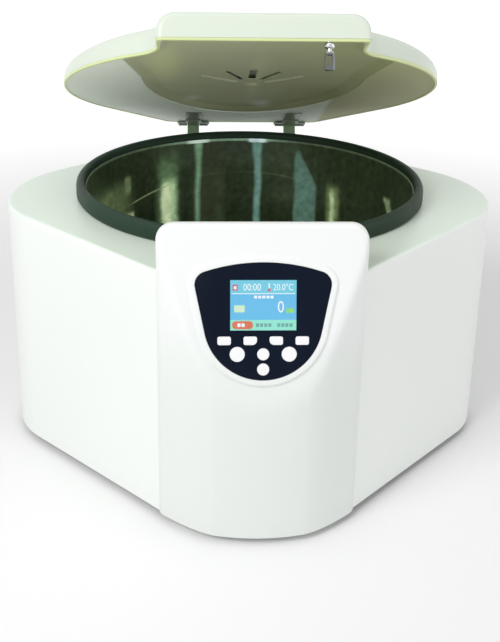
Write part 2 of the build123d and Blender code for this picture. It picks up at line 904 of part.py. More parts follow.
def make_hinge_pins():
    pins = []
    reach = hinge_barrel_half + hinge_side_gap
    for x in hinge_places():
        pin = across(hinge_pin_radius, x - reach, x + reach)
        for side in (1, -1):
            x0, x1 = sorted((x + side * reach, x + side * (reach + hinge_pin_head_height)))
            pin += across(hinge_pin_head_radius, x0, x1)
        pins.append(pin)
    return Compound(pins)


def striker_window_centre():
    top = lid_underside - striker_stud_height
    return top - striker_length / 2


def make_striker():
    # A stud under the lid's front edge, with a windowed plate that the lock's bolt passes through
    top = lid_underside - striker_stud_height
    stud = rod(striker_stud_radius, top, lid_underside, striker_x, striker_y)
    plate = Pos(striker_x, striker_y, top - striker_length / 2)
    loop = plate * Box(striker_width, striker_thickness, striker_length)
    loop = fillet(loop.edges().filter_by(Axis.Y).sort_by(Axis.Z)[:2], striker_corner_radius)
    window = plate * Box(striker_window_width, 2 * striker_thickness, striker_window_height)
    return stud + loop - window


def make_bolt():
    front = -console_back - bolt_setback
    middle = Pos(striker_x, front - bolt_length / 2, striker_window_centre())
    return middle * Rot(90, 0, 0) * Cylinder(bolt_radius, bolt_length)


def make_lock():
    back = -console_back - console_wall
    body = block(
        (striker_x - lock_half_width, striker_x + lock_half_width),
        (back - lock_depth, back),
        (deck_height, deck_height + lock_height),
    )
    hole = Cylinder(bolt_radius + bolt_clearance, 2 * lock_depth)
    return body - Pos(striker_x, back, striker_window_centre()) * Rot(90, 0, 0) * hole


def make_solenoid():
    x = striker_x - lock_half_width - solenoid_length / 2
    y = -console_back - console_wall - lock_depth / 2
    place = Pos(x, y, deck_height + lock_height / 2)
    return place * Rot(0, 90, 0) * Cylinder(solenoid_radius, solenoid_length)


def rear_centre():
    return rear_plate_bottom + rear_plate_height / 2


def rear_hole(x, half_x, half_z, depth):
    z = rear_centre()
    y = rear_depth + rear_plate_thickness
    return block((x - half_x, x + half_x), (y - depth, y), (z - half_z, z + half_z))


def rocker_opening():
    return rocker_half_width + rocker_gap, rocker_radius + rocker_gap


def make_rear_plate():
    face_y = rear_depth + rear_plate_thickness
    half = rear_plate_half_width
    top = rear_plate_bottom + rear_plate_height
    plate = block((-half, half), (rear_depth, face_y), (rear_plate_bottom, top))
    plate -= rear_hole(inlet_x, inlet_width / 2, inlet_height / 2, rear_plate_thickness)
    half_x, half_z = rocker_opening()
    wall = rocker_frame_wall
    plate -= rear_hole(switch_x, half_x + wall, half_z + wall, rear_plate_thickness)
    fuse_hole = Rot(90, 0, 0) * Cylinder(fuse_radius, 4 * rear_plate_thickness)
    return plate - Pos(fuse_x, face_y, rear_centre()) * fuse_hole


def make_inlet():
    z = rear_centre()
    face_y = rear_depth + rear_plate_thickness
    body = rear_hole(inlet_x, inlet_width / 2, inlet_height / 2, inlet_depth)
    rim_x = inlet_width / 2 + inlet_rim
    rim_z = inlet_height / 2 + inlet_rim
    rim = block((inlet_x - rim_x, inlet_x + rim_x), (face_y, face_y + inlet_flange), (z - rim_z, z + rim_z))
    well_x = inlet_width / 2 - inlet_wall
    well_z = inlet_height / 2 - inlet_wall
    well = block(
        (inlet_x - well_x, inlet_x + well_x),
        (face_y - inlet_well_depth, face_y + inlet_flange),
        (z - well_z, z + well_z),
    )
    socket = body + rim - well
    half = inlet_pin_width / 2
    for offset_x, lift in ((-inlet_pin_spread, -1), (0, 1), (inlet_pin_spread, -1)):
        x = inlet_x + offset_x
        low, high = sorted((z, z + lift * inlet_pin_height))
        socket += block((x - half, x + half), (face_y - inlet_depth, face_y - inlet_pin_setback), (low, high))
    return socket


def make_fuse():
    face_y = rear_depth + rear_plate_thickness
    face = Pos(fuse_x, face_y, rear_centre())
    body = Pos(0, -fuse_length / 2, 0) * Rot(90, 0, 0) * Cylinder(fuse_radius, fuse_length)
    cap = Pos(0, fuse_cap_height / 2, 0) * Rot(90, 0, 0) * Cylinder(fuse_cap_radius, fuse_cap_height)
    slot = Pos(0, fuse_cap_height, 0) * Box(fuse_slot_length, 2 * fuse_slot_depth, fuse_slot_width)
    return face * (body + cap - slot)


def make_switch_frame():
    face_y = rear_depth + rear_plate_thickness
    half_x, half_z = rocker_opening()
    wall = rocker_frame_wall
    z = rear_centre()
    body = rear_hole(switch_x, half_x + wall, half_z + wall, rocker_frame_depth)
    rim_x = half_x + rocker_frame_rim
    rim_z = half_z + rocker_frame_rim
    front = face_y + rocker_rim_thickness
    rim = block((switch_x - rim_x, switch_x + rim_x), (face_y, front), (z - rim_z, z + rim_z))
    deep = face_y - rocker_frame_depth + wall
    hollow = block((switch_x - half_x, switch_x + half_x), (deep, front), (z - half_z, z + half_z))
    return body + rim - hollow


def rocker_pivot():
    return rear_depth + rear_plate_thickness - rocker_radius / 2


def make_rocker():
    # A round-backed key with two flat faces, tilted so that its lower half stands out at rest
    drum = Rot(0, 90, 0) * Cylinder(rocker_radius, 2 * rocker_half_width)
    reach = rocker_radius / 2 + rocker_proud
    across_drum = (-rocker_radius, rocker_radius)
    cutter = block(across_drum, (0, rocker_radius), (-2 * rocker_radius, 2 * rocker_radius))
    for side in (1, -1):
        drum -= Pos(0, reach, 0) * Rot(side * rocker_angle, 0, 0) * cutter
    return Pos(switch_x, rocker_pivot(), rear_centre()) * Rot(-rocker_angle, 0, 0) * drum


def make_rear_screws():
    screws = []
    inset = rear_screw_radius + rear_screw_edge
    face_y = rear_depth + rear_plate_thickness
    for x in (-rear_plate_half_width + inset, rear_plate_half_width - inset):
        for z in (rear_plate_bottom + inset, rear_plate_bottom + rear_plate_height - inset):
            head = Pos(x, face_y + rear_screw_height / 2, z) * Rot(90, 0, 0)
            screws.append(head * Cylinder(rear_screw_radius, rear_screw_height))
    return Compound(screws)


def make_drive_unit():
    # The motor's inverter, with a finned side towards the casing's corner
    x0, x1 = -unit_outer + fin_depth, -unit_inner
    top = base_top + drive_unit_height
    unit = block((x0, x1), (unit_front, unit_back), (base_top, top))
    step = (unit_back - unit_front - fin_thickness) / (fin_count - 1)
    for fin in range(fin_count):
        y = unit_front + fin * step
        unit += block((x0 - fin_depth, x0), (y, y + fin_thickness), (base_top, top))
    return unit


def make_power_unit():
    return block((unit_inner, unit_outer), (unit_front, unit_back), (base_top, base_top + power_unit_height))


def open_lid(piece):
    hinge = Pos(0, hinge_y, hinge_z)
    back = Pos(0, -hinge_y, -hinge_z)
    return hinge * Rot(-lid_open, 0, 0) * back * piece


def build_pieces():
    pieces = {
        "casing": make_casing(),
        "base_plate": make_base(),
        "feet": make_feet(),
        "bowl": make_bowl(),
        "bowl_seal": make_seal(),
        "guard_barrel": make_guard(),
        "motor_dampers": make_dampers(),
        "motor_plate": make_motor_plate(),
        "motor_housing": make_motor_housing(),
        "motor_stator": make_stator(),
        "motor_bearings": make_bearings(),
        "spindle_boot": make_boot(),
        "drive_unit": make_drive_unit(),
        "power_unit": make_power_unit(),
        "console_cover": make_console(),
        "control_panel": make_panel(),
        "screen_window": make_window(),
        "display_module": make_display(),
        "control_board": make_board(),
        "key_switches": make_switches(),
        "hinge_brackets": make_brackets(),
        "hinge_pins": make_hinge_pins(),
        "lock_housing": make_lock(),
        "lock_solenoid": make_solenoid(),
        "lock_bolt": make_bolt(),
        "rear_plate": make_rear_plate(),
        "power_inlet": make_inlet(),
        "fuse_holder": make_fuse(),
        "switch_frame": make_switch_frame(),
        "power_rocker": make_rocker(),
        "rear_screws": make_rear_screws(),
        "motor_core": make_core(),
        "motor_shaft": make_shaft(),
        "rotor_head": make_head(),
        "head_pins": Compound(head_pins()),
        "rotor_nut": make_nut(),
        "lid_shell": open_lid(make_lid_shell()),
        "lid_liner": open_lid(make_liner()),
        "hinge_leaves": open_lid(make_leaves()),
        "lid_striker": open_lid(make_striker()),
    }
    bucket = make_bucket()
    for turn in range(bucket_count):
        pieces[f"bucket_{turn + 1}"] = Rot(0, 0, turn * 360 / bucket_count) * bucket
    for name, face in key_shapes().items():
        pieces[name] = make_key(face)
    return pieces


pieces = build_pieces()
front_end = min(piece.bounding_box().min.Y for piece in pieces.values())
rear_end = max(piece.bounding_box().max.Y for piece in pieces.values())
origin_shift = -(front_end + rear_end) / 2

os.makedirs("parts", exist_ok=True)
for name, piece in pieces.items():
    export_step(Pos(0, origin_shift, 0) * piece, f"parts/{name}.step")
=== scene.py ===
from math import atan2, cos, pi, radians, sin, sqrt, tan

import bpy
import numpy as np
from mathutils import Matrix, Vector


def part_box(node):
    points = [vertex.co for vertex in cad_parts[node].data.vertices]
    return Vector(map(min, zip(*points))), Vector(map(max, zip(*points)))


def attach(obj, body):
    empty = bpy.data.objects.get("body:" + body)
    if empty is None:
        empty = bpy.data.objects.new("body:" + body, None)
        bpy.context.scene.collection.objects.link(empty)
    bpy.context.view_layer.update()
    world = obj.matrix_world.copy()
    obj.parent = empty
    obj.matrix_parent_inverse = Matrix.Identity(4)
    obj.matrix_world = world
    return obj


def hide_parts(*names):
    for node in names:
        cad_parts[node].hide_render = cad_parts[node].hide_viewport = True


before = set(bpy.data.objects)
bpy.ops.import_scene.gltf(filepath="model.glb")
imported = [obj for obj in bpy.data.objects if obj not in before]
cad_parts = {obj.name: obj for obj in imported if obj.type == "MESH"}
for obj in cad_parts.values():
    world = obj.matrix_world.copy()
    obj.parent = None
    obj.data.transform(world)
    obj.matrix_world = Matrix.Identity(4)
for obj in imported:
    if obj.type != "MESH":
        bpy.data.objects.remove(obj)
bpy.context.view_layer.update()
print("frame loaded:", len(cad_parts), "nodes")

mm = 0.001
bowlLow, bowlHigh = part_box("bowl")
axisY = (bowlLow.y + bowlHigh.y) / 2  # every size below is measured from the bowl's axis
rimZ = bowlHigh.z / mm
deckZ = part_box("casing")[1].z / mm
boltLow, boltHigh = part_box("lock_bolt")
boltX, boltZ = (boltLow.x + boltHigh.x) / 2 / mm, (boltLow.z + boltHigh.z) / 2 / mm


# Mesh tools: all sizes in millimetres from the bowl's axis, changed to metres at the end

def newObject(name, data):
    made = bpy.data.objects.new(name, data)
    bpy.context.scene.collection.objects.link(made)
    return made


def smoothed(mesh, creaseAngle):
    # Smooth but for edges sharper than the angle
    mesh.shade_smooth()
    mesh.set_sharp_from_angle(angle=radians(creaseAngle))
    return mesh


def makePiece(name, points, faces, creaseAngle=32):
    # Puts a mesh at the origin with its place in its vertices
    mesh = bpy.data.meshes.new(name)
    metres = np.asarray(points, float).reshape(-1, 3) * mm + (0, axisY, 0)
    mesh.from_pydata(metres.tolist(), [], faces)
    mesh.validate()
    return newObject(name, smoothed(mesh, creaseAngle))


def skinFaces(rows, columns, closeRows=False, start=0):
    # Four-sided faces between neighbouring rows of a grid whose rows are closed loops, with a cap at both ends
    index = np.arange(rows * columns).reshape(rows, columns) + start
    nextRow = np.roll(index, -1, axis=0) if closeRows else index[1:]
    thisRow = index if closeRows else index[:-1]
    quads = np.stack([thisRow, np.roll(thisRow, -1, 1), np.roll(nextRow, -1, 1), nextRow], -1)
    faces = quads.reshape(-1, 4).tolist()
    if not closeRows:
        faces.append(index[0][::-1].tolist())
        faces.append(index[-1].tolist())
    return faces


def loftPiece(name, grid, closeRows=False, creaseAngle=32):
    rows, columns = grid.shape[:2]
    return makePiece(name, grid, skinFaces(rows, columns, closeRows), creaseAngle)


def evaluatedMesh(piece):
    bpy.context.view_layer.update()
    return bpy.data.meshes.new_from_object(piece.evaluated_get(bpy.context.evaluated_depsgraph_get()))


def cutWith(piece, cutters, creaseAngle=32, operation="DIFFERENCE"):
    for cutter in cutters:
        tool = piece.modifiers.new("cut", "BOOLEAN")
        tool.operation, tool.solver, tool.object = operation, "EXACT", cutter
        made = evaluatedMesh(piece)
        piece.modifiers.clear()
        piece.data = smoothed(made, creaseAngle)
        bpy.data.objects.remove(cutter)
    return piece


def meshPoints(mesh):
    points = np.empty(len(mesh.vertices) * 3)
    mesh.vertices.foreach_get("co", points)
    return points.reshape(-1, 3)


def joinPieces(name, pieces):
    # Several closed skins as one piece
    points, faces, start = [], [], 0
    for piece in pieces:
        points.append(meshPoints(piece.data))
        faces += [[start + i for i in face.vertices] for face in piece.data.polygons]
        start += len(points[-1])
        bpy.data.objects.remove(piece)
    return makePiece(name, (np.concatenate(points) - (0, axisY, 0)) / mm, faces)


def arc(centre, radius, fromAngle, toAngle, count):
    # Points on a circle's arc, angles in degrees
    angle = np.radians(np.linspace(fromAngle, toAngle, count))
    return np.stack([centre[0] + radius * np.cos(angle), centre[1] + radius * np.sin(angle)], 1)


def roundedLoop(corners, radii, inset=0.0, count=10):
    # A polygon drawn anticlockwise with each corner rounded; inset moves every side inwards
    corners = np.asarray(corners, float)
    along = np.roll(corners, -1, 0) - corners
    along /= np.linalg.norm(along, axis=1)[:, None]
    left = np.stack([-along[:, 1], along[:, 0]], 1)
    before, leftBefore = np.roll(along, 1, 0), np.roll(left, 1, 0)
    reach = 1 + (left * leftBefore).sum(1)
    corners = corners + inset * (left + leftBefore) / reach[:, None]
    pieces = []
    for corner, d1, d2, n1, radius in zip(corners, before, along, leftBefore, radii):
        turn = atan2(d1[0] * d2[1] - d1[1] * d2[0], d1 @ d2)
        side = 1 if turn > 0 else -1
        radius = max(radius - side * inset, 0.05)
        first = corner - d1 * radius * tan(abs(turn) / 2)
        centre = first + side * radius * n1
        angle = np.linspace(0, turn, count)
        spoke = first - centre
        pieces.append(np.stack([
            centre[0] + spoke[0] * np.cos(angle) - spoke[1] * np.sin(angle),
            centre[1] + spoke[0] * np.sin(angle) + spoke[1] * np.cos(angle)], 1))
    return np.concatenate(pieces)


def atHeight(loop, z):
    return np.column_stack([loop, np.full(len(loop), z)])


def standing(loop, y):
    # An outline given in x and z, stood upright at y
    return np.column_stack([loop[:, 0], np.full(len(loop), y), loop[:, 1]])


def mirrored(right):
    # A closed loop from its right half
    return np.vstack([right, (right * (-1, 1))[::-1]])


def rowsOf(outline, rows, place=atHeight):
    # A grid of loops: for each row, the outline drawn in by the row's inset and placed at its level
    return np.array([place(outline(inset), level) for inset, level in rows])


def turned(profile, count=192, centre=(0.0, 0.0)):
    # A profile of (radius, height) pairs carried round an upright axis
    profile = np.asarray(profile, float)
    angle = np.linspace(0, 2 * pi, count, endpoint=False)
    radius = profile[:, 0][:, None]
    return np.stack([
        centre[0] + radius * np.cos(angle),
        centre[1] + radius * np.sin(angle),
        np.broadcast_to(profile[:, 1][:, None], (len(profile), count))], -1)


def prismPiece(name, loop, low, high):
    return loftPiece(name, np.stack([atHeight(loop, low), atHeight(loop, high)]))


def blockPiece(name, xs, ys, zs, radius=0.05):
    loop = roundedLoop([(xs[0], ys[0]), (xs[1], ys[0]), (xs[1], ys[1]), (xs[0], ys[1])], [radius] * 4, count=3)
    return prismPiece(name, loop, *zs)


def smoothMax(a, b, width):
    # The greater of two values, blended over a width where they are close
    near = np.maximum(width - np.abs(a - b), 0) / width
    return np.maximum(a, b) + near * near * width / 4


def smoothShare(value, low, high):
    # 0 below low, 1 above high and t * t * (3 - 2 * t) between them
    share = np.clip((value - low) / (high - low), 0, 1)
    return share * share * (3 - 2 * share)


def boxLoop(cx, cy, width, height, radius, inset=0.0, count=6):
    x, y = width / 2, height / 2
    corners = [(cx - x, cy - y), (cx + x, cy - y), (cx + x, cy + y), (cx - x, cy + y)]
    return roundedLoop(corners, [radius] * 4, inset, count)


# Materials

def connect(tree, inputs, values):
    # Gives sockets, by name or number, either a link or a constant; a colour is given as three values
    for label, value in values.items():
        socket = inputs[label]
        if isinstance(value, bpy.types.NodeSocket):
            tree.links.new(value, socket)
        else:
            socket.default_value = (*value, 1) if socket.type == "RGBA" else value


def addNode(tree, kind, values):
    node = tree.nodes.new("ShaderNode" + kind)
    connect(tree, node.inputs, values)
    return node.outputs


def mathNode(tree, operation, *values, clamp=False):
    node = tree.nodes.new("ShaderNodeMath")
    node.operation, node.use_clamp = operation, clamp
    connect(tree, node.inputs, dict(enumerate(values)))
    return node.outputs["Value"]


def vectorNode(tree, operation, values):
    node = tree.nodes.new("ShaderNodeVectorMath")
    node.operation = operation
    connect(tree, node.inputs, values)
    return node.outputs["Value" if operation == "LENGTH" else "Vector"]


def mixNode(tree, mask, first, second, blend="MIX"):
    node = tree.nodes.new("ShaderNodeMix")
    node.data_type, node.blend_type = "RGBA", blend
    connect(tree, node.inputs, {"Factor": mask, "A": first, "B": second})
    return node.outputs["Result"]


def noiseNode(tree, vector, scale, detail=2.0, roughness=0.5):
    sizes = {"Vector": vector, "Scale": scale, "Detail": detail, "Roughness": roughness}
    return addNode(tree, "TexNoise", sizes)["Fac"]


def rangeNode(tree, source, low, high):
    # Spreads a noise value, which seldom leaves 0.3 to 0.7, over a range
    limits = {"Value": source, "From Min": 0.3, "From Max": 0.7, "To Min": low, "To Max": high}
    return addNode(tree, "MapRange", limits)["Result"]


def stepNode(tree, value, start, end, fromLevel=0.0, toLevel=1.0):
    # A smooth step from one level to another between two values
    node = tree.nodes.new("ShaderNodeMapRange")
    node.interpolation_type = "SMOOTHSTEP"
    levels = {"From Min": start, "From Max": end, "To Min": fromLevel, "To Max": toLevel}
    connect(tree, node.inputs, {"Value": value, **levels})
    return node.outputs["Result"]


def groupNode(tree, group, values):
    node = tree.nodes.new("ShaderNodeGroup")
    node.node_tree = group
    connect(tree, node.inputs, values)
    return node.outputs


def makeGroup(name, inputs, outputs):
    # A node group from its inputs' names and starting values, and its outputs' names
    tree = bpy.data.node_groups.new(name, "ShaderNodeTree")
    for label, value in inputs.items():
        kind = "NodeSocketFloat" if isinstance(value, float) else "NodeSocketVector"
        tree.interface.new_socket(label, in_out="INPUT", socket_type=kind).default_value = value
    for label in outputs:
        tree.interface.new_socket(label, in_out="OUTPUT", socket_type="NodeSocketFloat")
    return tree, tree.nodes.new("NodeGroupInput").outputs, tree.nodes.new("NodeGroupOutput").inputs


def newMaterial(name):
    material = bpy.data.materials.new(name)
    material.use_nodes = True
    tree = material.node_tree
    return material, tree, tree.nodes["Principled BSDF"].inputs, addNode(tree, "TexCoord", {})["Object"]


def makeFinishGroup():
    # Sprayed or moulded skin: a fine ripple for the bump, a broad tone for the colour and a smudge for the gloss
    tree, into, out = makeGroup("skinFinish", {"Vector": (0.0, 0.0, 0.0)}, ("Ripple", "Tone", "Smudge"))
    connect(tree, out, {
        "Ripple": noiseNode(tree, into["Vector"], 900.0),
        "Tone": noiseNode(tree, into["Vector"], 3.0, 3.0),
        "Smudge": noiseNode(tree, into["Vector"], 9.0, 6.0, 0.6),
    })
    return tree


def makeGrainGroup():
    # Brushed metal: noise drawn out along one direction, fine for bump and gloss and broad for the colour
    tree, into, out = makeGroup("brushedGrain", {"Vector": (0.0, 0.0, 0.0), "Stretch": (1.0, 1.0, 60.0)},
                                ("Ripple", "Tone", "Smudge"))
    drawn = vectorNode(tree, "MULTIPLY", {0: into["Vector"], 1: into["Stretch"]})
    fine = noiseNode(tree, drawn, 30.0, 4.0)
    connect(tree, out, {"Ripple": fine, "Tone": noiseNode(tree, drawn, 6.0), "Smudge": fine})
    return tree


finishGroup = makeFinishGroup()
grainGroup = makeGrainGroup()
materials = {}


def finishMaterial(name, finish, depth, colour, shade, roughness, bump, metallic):
    # Colour and shade are the light and dark ends of its tone; the relief's depth is in metres
    material, tree, shader, place = newMaterial(name)
    group, settings = finish
    made = groupNode(tree, group, {"Vector": place, **settings})
    relief = addNode(tree, "Bump", {"Strength": bump, "Distance": depth, "Height": made["Ripple"]})
    connect(tree, shader, {
        "Base Color": mixNode(tree, rangeNode(tree, made["Tone"], 0.0, 1.0), shade, colour),
        "Roughness": rangeNode(tree, made["Smudge"], *roughness),
        "Metallic": metallic,
        "Normal": relief["Normal"],
    })
    materials[name] = material


skins = {
    # light and dark end of the tone, roughness, bump and metallic
    "casingPaint": ((0.86, 0.89, 0.86), (0.84, 0.87, 0.84), (0.30, 0.38), 0.03, 0.0),
    "consolePaint": ((0.86, 0.88, 0.87), (0.84, 0.86, 0.85), (0.30, 0.38), 0.03, 0.0),
    "lidPaint": ((0.69, 0.76, 0.66), (0.67, 0.74, 0.64), (0.30, 0.38), 0.03, 0.0),
    # the lip: the lid's paint yellowed, a painted reflection of the deck below it
    "lipReflectionTone": ((0.70, 0.78, 0.40), (0.66, 0.74, 0.37), (0.30, 0.38), 0.03, 0.0),
    "flangePaint": ((0.88, 0.93, 0.82), (0.84, 0.89, 0.78), (0.45, 0.55), 0.03, 0.0),
    # the dish: darker olive than the flange, a painted shade and dark reflection in its recess
    "dishShadedSatin": ((0.60, 0.63, 0.42), (0.45, 0.47, 0.30), (0.42, 0.52), 0.03, 0.0),
    # the fan's beads: lighter than the dish, a painted highlight along them
    "rimHighlightSatin": ((0.62, 0.64, 0.46), (0.56, 0.58, 0.42), (0.3, 0.4), 0.02, 0.0),
    "sealRubber": ((0.028, 0.056, 0.036), (0.020, 0.040, 0.026), (0.42, 0.54), 0.05, 0.0),
    "blackPlastic": ((0.018, 0.018, 0.019), (0.012, 0.012, 0.013), (0.38, 0.5), 0.12, 0.0),
    "blackRubber": ((0.022, 0.022, 0.022), (0.014, 0.014, 0.014), (0.6, 0.75), 0.15, 0.0),
    "panelFilm": ((0.004, 0.008, 0.020), (0.003, 0.006, 0.015), (0.30, 0.40), 0.04, 0.0),
    "keyPlastic": ((0.88, 0.88, 0.89), (0.86, 0.86, 0.87), (0.35, 0.45), 0.04, 0.0),
    "boardGreen": ((0.02, 0.12, 0.05), (0.015, 0.09, 0.04), (0.3, 0.4), 0.05, 0.0),
    "hingeSteel": ((0.225, 0.250, 0.215), (0.165, 0.185, 0.155), (0.28, 0.40), 0.06, 0.55),
    "bracketSteel": ((0.32, 0.44, 0.27), (0.26, 0.37, 0.22), (0.32, 0.42), 0.05, 0.5),
}
metals = {
    # light and dark end of the tone, roughness, bump and how the grain is drawn out
    "zincPlate": ((0.55, 0.56, 0.57), (0.45, 0.46, 0.47), (0.35, 0.5), 0.05, (8.0, 8.0, 8.0)),
    "castAlloy": ((0.55, 0.56, 0.57), (0.47, 0.48, 0.49), (0.45, 0.6), 0.2, (20.0, 20.0, 20.0)),
    "turnedAlloy": ((0.62, 0.63, 0.65), (0.52, 0.53, 0.55), (0.25, 0.38), 0.05, (2.0, 2.0, 60.0)),
    "strikerChrome": ((0.82, 0.83, 0.85), (0.66, 0.67, 0.69), (0.10, 0.20), 0.01, (4.0, 4.0, 4.0)),
    "groundSteel": ((0.60, 0.60, 0.62), (0.50, 0.50, 0.52), (0.2, 0.32), 0.05, (60.0, 2.0, 2.0)),
}
for name, (*look, metallic) in skins.items():
    finishMaterial(name, (finishGroup, {}), 0.001, *look, metallic)
for name, (*look, stretch) in metals.items():
    finishMaterial(name, (grainGroup, {"Stretch": stretch}), 0.0005, *look, 1.0)

paintedLightBands = [
    # painted light and shade, as tints: finish, axis, where the tint begins and is full (m), and the colour it
    # multiplies by
    ("casingPaint", "Z", (deckZ - 1.5) * mm, (deckZ - 0.5) * mm, (0.92, 1.0, 0.92)),  # painted shade: the deck tinted greener than the walls, a difference that comes from how the light falls on them
    ("consolePaint", "Z", 0.28, 0.14, (0.90, 0.92, 0.90)),  # painted shade: a touch greyer low down, where less light falls from above
    # painted reflection and shade on the flange: darker olive to the right with a sharp brownish edge, and painted
    # light lifting the shade low at the back
    ("flangePaint", "X", 0.02, 0.16, (0.72, 0.72, 0.66)),
    ("flangePaint", "X", 0.094, 0.102, (0.68, 0.65, 0.44)),
    ("flangePaint", "Z", 0.350, 0.335, (1.12, 1.12, 1.18)),
    # painted shade and reflection in the dish: darker to the right, and darker low at its rear rim
    ("dishShadedSatin", "X", -0.03, 0.13, (0.72, 0.72, 0.58)),
    ("dishShadedSatin", "Z", 0.346, 0.334, (0.80, 0.79, 0.74)),
    # painted shade on the seal: darker to the right, away from the lamp-lit left side
    ("sealRubber", "X", 0.02, 0.17, (0.62, 0.68, 0.54)),
    # painted reflection on the striker: the plate darker below the head, and darker again on its left side
    ("strikerChrome", "Z", 0.478, 0.475, (0.34, 0.36, 0.36)),
    ("strikerChrome", "X", 0.0645, 0.0635, (0.66, 0.68, 0.66)),
]
paintedDishSpots = [
    # painted highlights, and one painted shade, in the dish as soft ovals seen along y: middle x and z, half width and
    # height (mm), and colour
    (-95, 435, 30, 48, (1.28, 1.28, 1.10)),
    (4, 405, 15, 75, (1.16, 1.16, 1.14)),
    (-65, 361, 15, 10, (1.4, 1.4, 1.7)),
    (19, 347, 18, 12, (1.6, 1.55, 2.3)),
    (82, 382, 42, 22, (0.86, 0.83, 0.76)),
]


def tint(name, colour, makeMask):
    # Paints light and shade into a finish: multiplies its own colour by another, as far as a mask from 0 to 1 says
    tree = materials[name].node_tree
    socket = tree.nodes["Principled BSDF"].inputs["Base Color"]
    mask = makeMask(tree, tree.nodes["Texture Coordinate"].outputs["Object"])
    tree.links.new(mixNode(tree, mask, socket.links[0].from_socket, colour, "MULTIPLY"), socket)


def bandMask(tree, place, axis, start, end):
    return stepNode(tree, addNode(tree, "SeparateXYZ", {"Vector": place})[axis], start, end)


def spotMask(tree, place, x, z, halfX, halfZ):
    scale = (1 / (halfX * mm), 0, 1 / (halfZ * mm))
    centred = addNode(tree, "Mapping", {"Vector": place, "Location": (-x / halfX, 0, -z / halfZ), "Scale": scale})
    return stepNode(tree, vectorNode(tree, "LENGTH", {0: centred["Vector"]}), 0.0, 1.0, 1.0, 0.0)


for name, *where, colour in paintedLightBands:
    tint(name, colour, lambda tree, place: bandMask(tree, place, *where))
for *where, colour in paintedDishSpots:
    tint("dishShadedSatin", colour, lambda tree, place: spotMask(tree, place, *where))
for name, level in (("panelFilm", 0.07), ("sealRubber", 0.16), ("flangePaint", 0.15), ("dishShadedSatin", 0.15)):
    materials[name].node_tree.nodes["Principled BSDF"].inputs["Specular IOR Level"].default_value = level
print("materials ready")


def makeStreakGroup():
    # An upright painted reflection streak on the bowl's wall: full within a half width of its middle line, soft at its
    # sides, and fading out below one height and above another. Down to a reach below its top, the half width grows and
    # the middle leans aside at even rates, which makes funnels and wedges.
    inputs = {"Vector": (0.0, 0.0, 0.0), **dict.fromkeys((*streakSizes, "Grow", "Lean"), 0.0)}
    tree, into, out = makeGroup("uprightStreak", inputs, ["Mask"])

    def math(operation, *values):
        return mathNode(tree, operation, *values)

    split = addNode(tree, "SeparateXYZ", {"Vector": into["Vector"]})
    z, low, high, fade = split["Z"], into["Low"], into["High"], into["Fade"]
    depth = math("MINIMUM", math("MAXIMUM", math("SUBTRACT", high, z), 0.0), into["Reach"])
    aside = math("SUBTRACT", split["X"], into["Middle"])
    aside = math("ABSOLUTE", math("SUBTRACT", aside, math("MULTIPLY", depth, into["Lean"])))
    half = math("ADD", into["Half Width"], math("MULTIPLY", depth, into["Grow"]))
    across = stepNode(tree, aside, half, math("ADD", half, into["Soft"]), 1.0, 0.0)
    rising = stepNode(tree, z, math("SUBTRACT", low, fade), low)
    falling = stepNode(tree, z, high, math("ADD", high, fade), 1.0, 0.0)
    connect(tree, out, {"Mask": math("MULTIPLY", across, math("MULTIPLY", rising, falling))})
    return tree


streakSizes = ("Middle", "Half Width", "Soft", "Low", "High", "Fade", "Reach")
paintedWallReflections = [
    # painted reflections, pale and dark: the streakSizes in mm, then grow, lean and colour
    (-20, 50.0, 60.0, 274, 290, 30, 0, 0, 0, (0.038, 0.056, 0.032)),
    (-168, 14.0, 22.0, 100, 236, 30, 0, 0, 0, (0.12, 0.17, 0.07)),
    (-44, 4.0, 24.0, 100, 284, 20, 0, 0, 0, (0.040, 0.050, 0.026)),
    (-95, 5.0, 15.0, 100, 256, 30, 0, 0, 0, (0.12, 0.205, 0.10)),
    (-94, 5.0, 9.0, 100, 232, 16, 0, 0, 0, (0.54, 0.75, 0.42)),
    (-97, 1.5, 7.0, 100, 228, 12, 0, 0, 0, (0.86, 1.0, 0.62)),
    (-57, 1.8, 6.0, 100, 284, 6, 26, -0.06, -0.03, (0.20, 0.36, 0.22)),
    (20, 3.2, 6.0, 100, 286, 5, 26, -0.07, 0, (0.18, 0.35, 0.29)),
    (70.5, 0.4, 5.5, 100, 273, 8, 40, 0.26, 0.26, (0.11, 0.22, 0.17)),
    (115, 2.0, 9.0, 100, 228, 18, 0, 0, 0, (0.19, 0.26, 0.10)),
    (114.5, 0.6, 3.5, 100, 224, 14, 0, 0, 0, (0.48, 0.62, 0.34)),
    (-143, 2.0, 3.5, 200, 208, 6, 0, 0, 0, (0.55, 0.66, 0.34)),
    (-144, 1.5, 4.0, 240, 254, 9, 0, 0, 0, (0.17, 0.23, 0.11)),
    (-166, 1.6, 4.0, 228, 244, 10, 20, 0, -0.25, (0.17, 0.23, 0.10)),
    (171, 1.2, 2.5, 226, 242, 8, 20, 0, 0.3, (0.24, 0.30, 0.16)),
    (0, 200.0, 1.0, 286.6, 290, 1.0, 0, 0, 0, (0.085, 0.115, 0.065)),
    (-20, 40.0, 60.0, 286.2, 290, 1.2, 0, 0, 0, (0.22, 0.36, 0.24)),
    (-57, 5.0, 14.0, 285.5, 290, 1.5, 0, 0, 0, (0.80, 1.0, 0.86)),
    (20, 5.0, 11.0, 285.0, 290, 2.0, 0, 0, 0, (0.80, 0.98, 1.0)),
]
# the painted reflection of the bowl's own rim, as a faint arc in the wall
paintedRimReflection = {
    "top": 244.5, "fall": 1.15, "half": 0.3, "soft": 1.6, "colour": (0.34, 0.40, 0.22), "least": 0.04,
    "strong": (-118, 16, 14, 0.8), "weak": (40, 10, 60, 0.16),  # middle, half width, soft edge and strength
}


